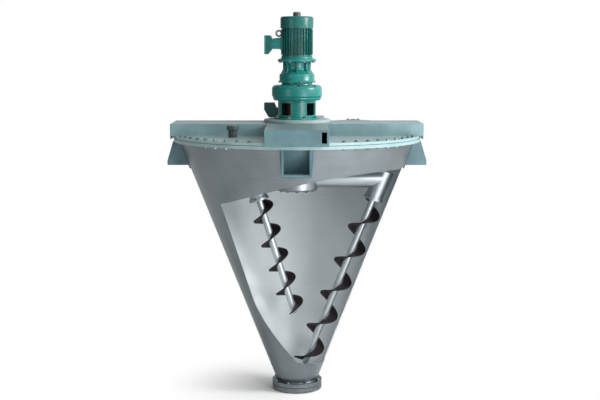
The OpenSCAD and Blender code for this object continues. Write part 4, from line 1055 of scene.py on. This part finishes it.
# The box body wears the darker motor green, which paints the shade on its face that turns away from the key lamp
body = slab("terminal_box_body", BOX_SIDE, -BOX_HALF, BOX_HALF, "motor_enamel", 4)
neck = slab("terminal_box_neck", NECK_SIDE, -NECK_HALF, NECK_HALF, "drive_enamel", 3)
replace("terminal_box", join("terminal_box_dressed", [body, neck]))
turn_left = Matrix.Rotation(-math.pi / 2, 4, "Y")
lid_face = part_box("terminal_lid")[0].x


def draw_lid_screws(bm):
    """Four screw heads, half sunk in the lid so that they keep inside its room."""
    for y, z in LID_SCREWS:
        place = Matrix.Translation((lid_face + SINK, y * MM, z * MM)) @ turn_left
        draw_bolt(bm, SCREW_D, SINK, place=place)


screws = stand("lid_screws", mesh_from("lid_screws", draw_lid_screws), finishes["bolt_steel"])
seat(screws, "root", "bolt_steel")

# %% [markdown]
# ## Screws of the arm
# Small cap screws close the hub and both knuckles. They turn with the arm, so they ride on its
# body. The circle tree only knows the vertical axis, so the circles of the knuckles are grown
# upright and then moved and tilted as the knuckles are.

# %% Screws of the hub and the knuckles, in millimetres
# The height of a screw's head, as a share of its diameter
SCREW_HEAD = 0.5
SCREW_CIRCLES = {
    # name: place, thread diameter, count, circle radius, height of the face, way up
    "hub_screws": (IN_PLACE, 10, 12, 118, -173, DOWN),
    "long_cap_screws": (knuckle("long"), 6, 8, 54, 62, IN_PLACE),
    "short_cap_screws": (knuckle("short"), 6, 8, 54, 62, IN_PLACE),
}
for name, (place, d, count, reach, face, way) in SCREW_CIRCLES.items():
    values = {"Count": count, "Circle radius": reach * MM, "Height": face * MM}
    screws = bolt_circle(name, d * MM, SCREW_HEAD * d * MM, values, place=way)
    screws.data.transform(place)
    seat(screws, "arm", "bolt_steel")

# %% [markdown]
# ## The slewing motor's box
# This one is only a silhouette on the left of the column, with a slanted right side. Its outline
# starts at the corner of its CAD node.

# %% The slewing motor's box
SLEW_SIDE = [(30, 0), (112, 2), (112, 60), (82, 66), (70, 98), (0, 98), (0, 52)]
slew_low, slew_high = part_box("slew_box")
outline = [(slew_low.x / MM + x, slew_low.z / MM + z) for x, z in SLEW_SIDE]
piece = slab("slew_box_dressed", outline, slew_low.y / MM, slew_high.y / MM, "motor_enamel", 5)
replace("slew_box", piece)

# %% [markdown]
# ## Welds
# A weld bead is a thin rope of frozen drops. The weld tree takes any line of edges, cuts it into
# short steps, lets the radius swell and shrink like the drops, and sweeps a small circle along it.
# So each weld needs only its line: circles at the flanges, straight runs along the beams and one
# long seam up the back of the cone, where the rolled sheet was closed.

# %% The weld tree
weld_tree, given = new_tree("weld_bead", Float=["Step", "Bead radius"], Material=["Finish"])
tree = weld_tree
line = add(tree, "GeometryNodeMeshToCurve", {0: given["Geometry"]})
cut = add(tree, "GeometryNodeResampleCurve", {"Curve": line, "Length": given["Step"]}, mode="LENGTH")
bead = weld_rope(tree, cut, given["Bead radius"], swing=0.2)
close_tree(tree, add(tree, "GeometryNodeSetShadeSmooth", {"Geometry": bead}), given["Finish"])

# %% Weld lines
RIM_GAP = 16 * MM
SEAM_OUT, SEAM_GAP = 0.2 * MM, 3 * MM
CONE_BEAD, BEAM_BEAD, BEAD_STEP = 3.5 * MM, 4 * MM, 3.5 * MM


def ring_line(radius, height, sides=160):
    """Points of a level circle around the axis, closed."""
    angles = [2 * math.pi * i / sides for i in range(sides + 1)]
    return [(radius * math.cos(a), radius * math.sin(a), height) for a in angles]


def draw_lines(bm, lines):
    """Edges along each line of points."""
    for points in lines:
        made = [bm.verts.new(p) for p in points]
        for first, second in zip(made, made[1:]):
            bm.edges.new((first, second))


beam_low, beam_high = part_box("main_beam")
front_low, front_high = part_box("front_beam")
back_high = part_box("back_beam")[1]
foot_r, top_r = max(foot_reach), max(top_reach)
seam = [(0, foot_r + SEAM_OUT, outlet_top + SEAM_GAP), (0, top_r + SEAM_OUT, flange_low - SEAM_GAP)]
cone_lines = [ring_line(top_r + MM, flange_low - MM), ring_line(foot_r + MM, outlet_top + MM), seam]
beam_lines = []
for side in (-1, 1):
    x, y = side * front_high.x, side * beam_high.y
    for start, stop in ((beam_low.x + RIM_GAP, front_low.x), (front_high.x, beam_high.x - RIM_GAP)):
        beam_lines.append([(start, y, lid_top), (stop, y, lid_top)])
    for start, stop in ((front_low.y + RIM_GAP, -beam_high.y), (beam_high.y, back_high.y - RIM_GAP)):
        beam_lines.append([(x, start, lid_top), (x, stop, lid_top)])
    for corner in (-beam_high.y, beam_high.y):
        beam_lines.append([(x, corner, lid_top), (x, corner, beam_high.z)])
WELDS = {
    # name: lines, bead radius, finish, the node whose slot is passed along
    "cone_welds": (cone_lines, CONE_BEAD, "weld_steel", "cone_shell"),
    "beam_welds": (beam_lines, BEAM_BEAD, "cross_paint", "main_beam"),
}
for name, (lines, radius, finish, node_name) in WELDS.items():
    values = {"Step": BEAD_STEP, "Bead radius": radius}
    mesh = mesh_from(name, lambda bm: draw_lines(bm, lines))
    seat(grow(name, weld_tree, mesh, finish, values), "root", slots[node_name])
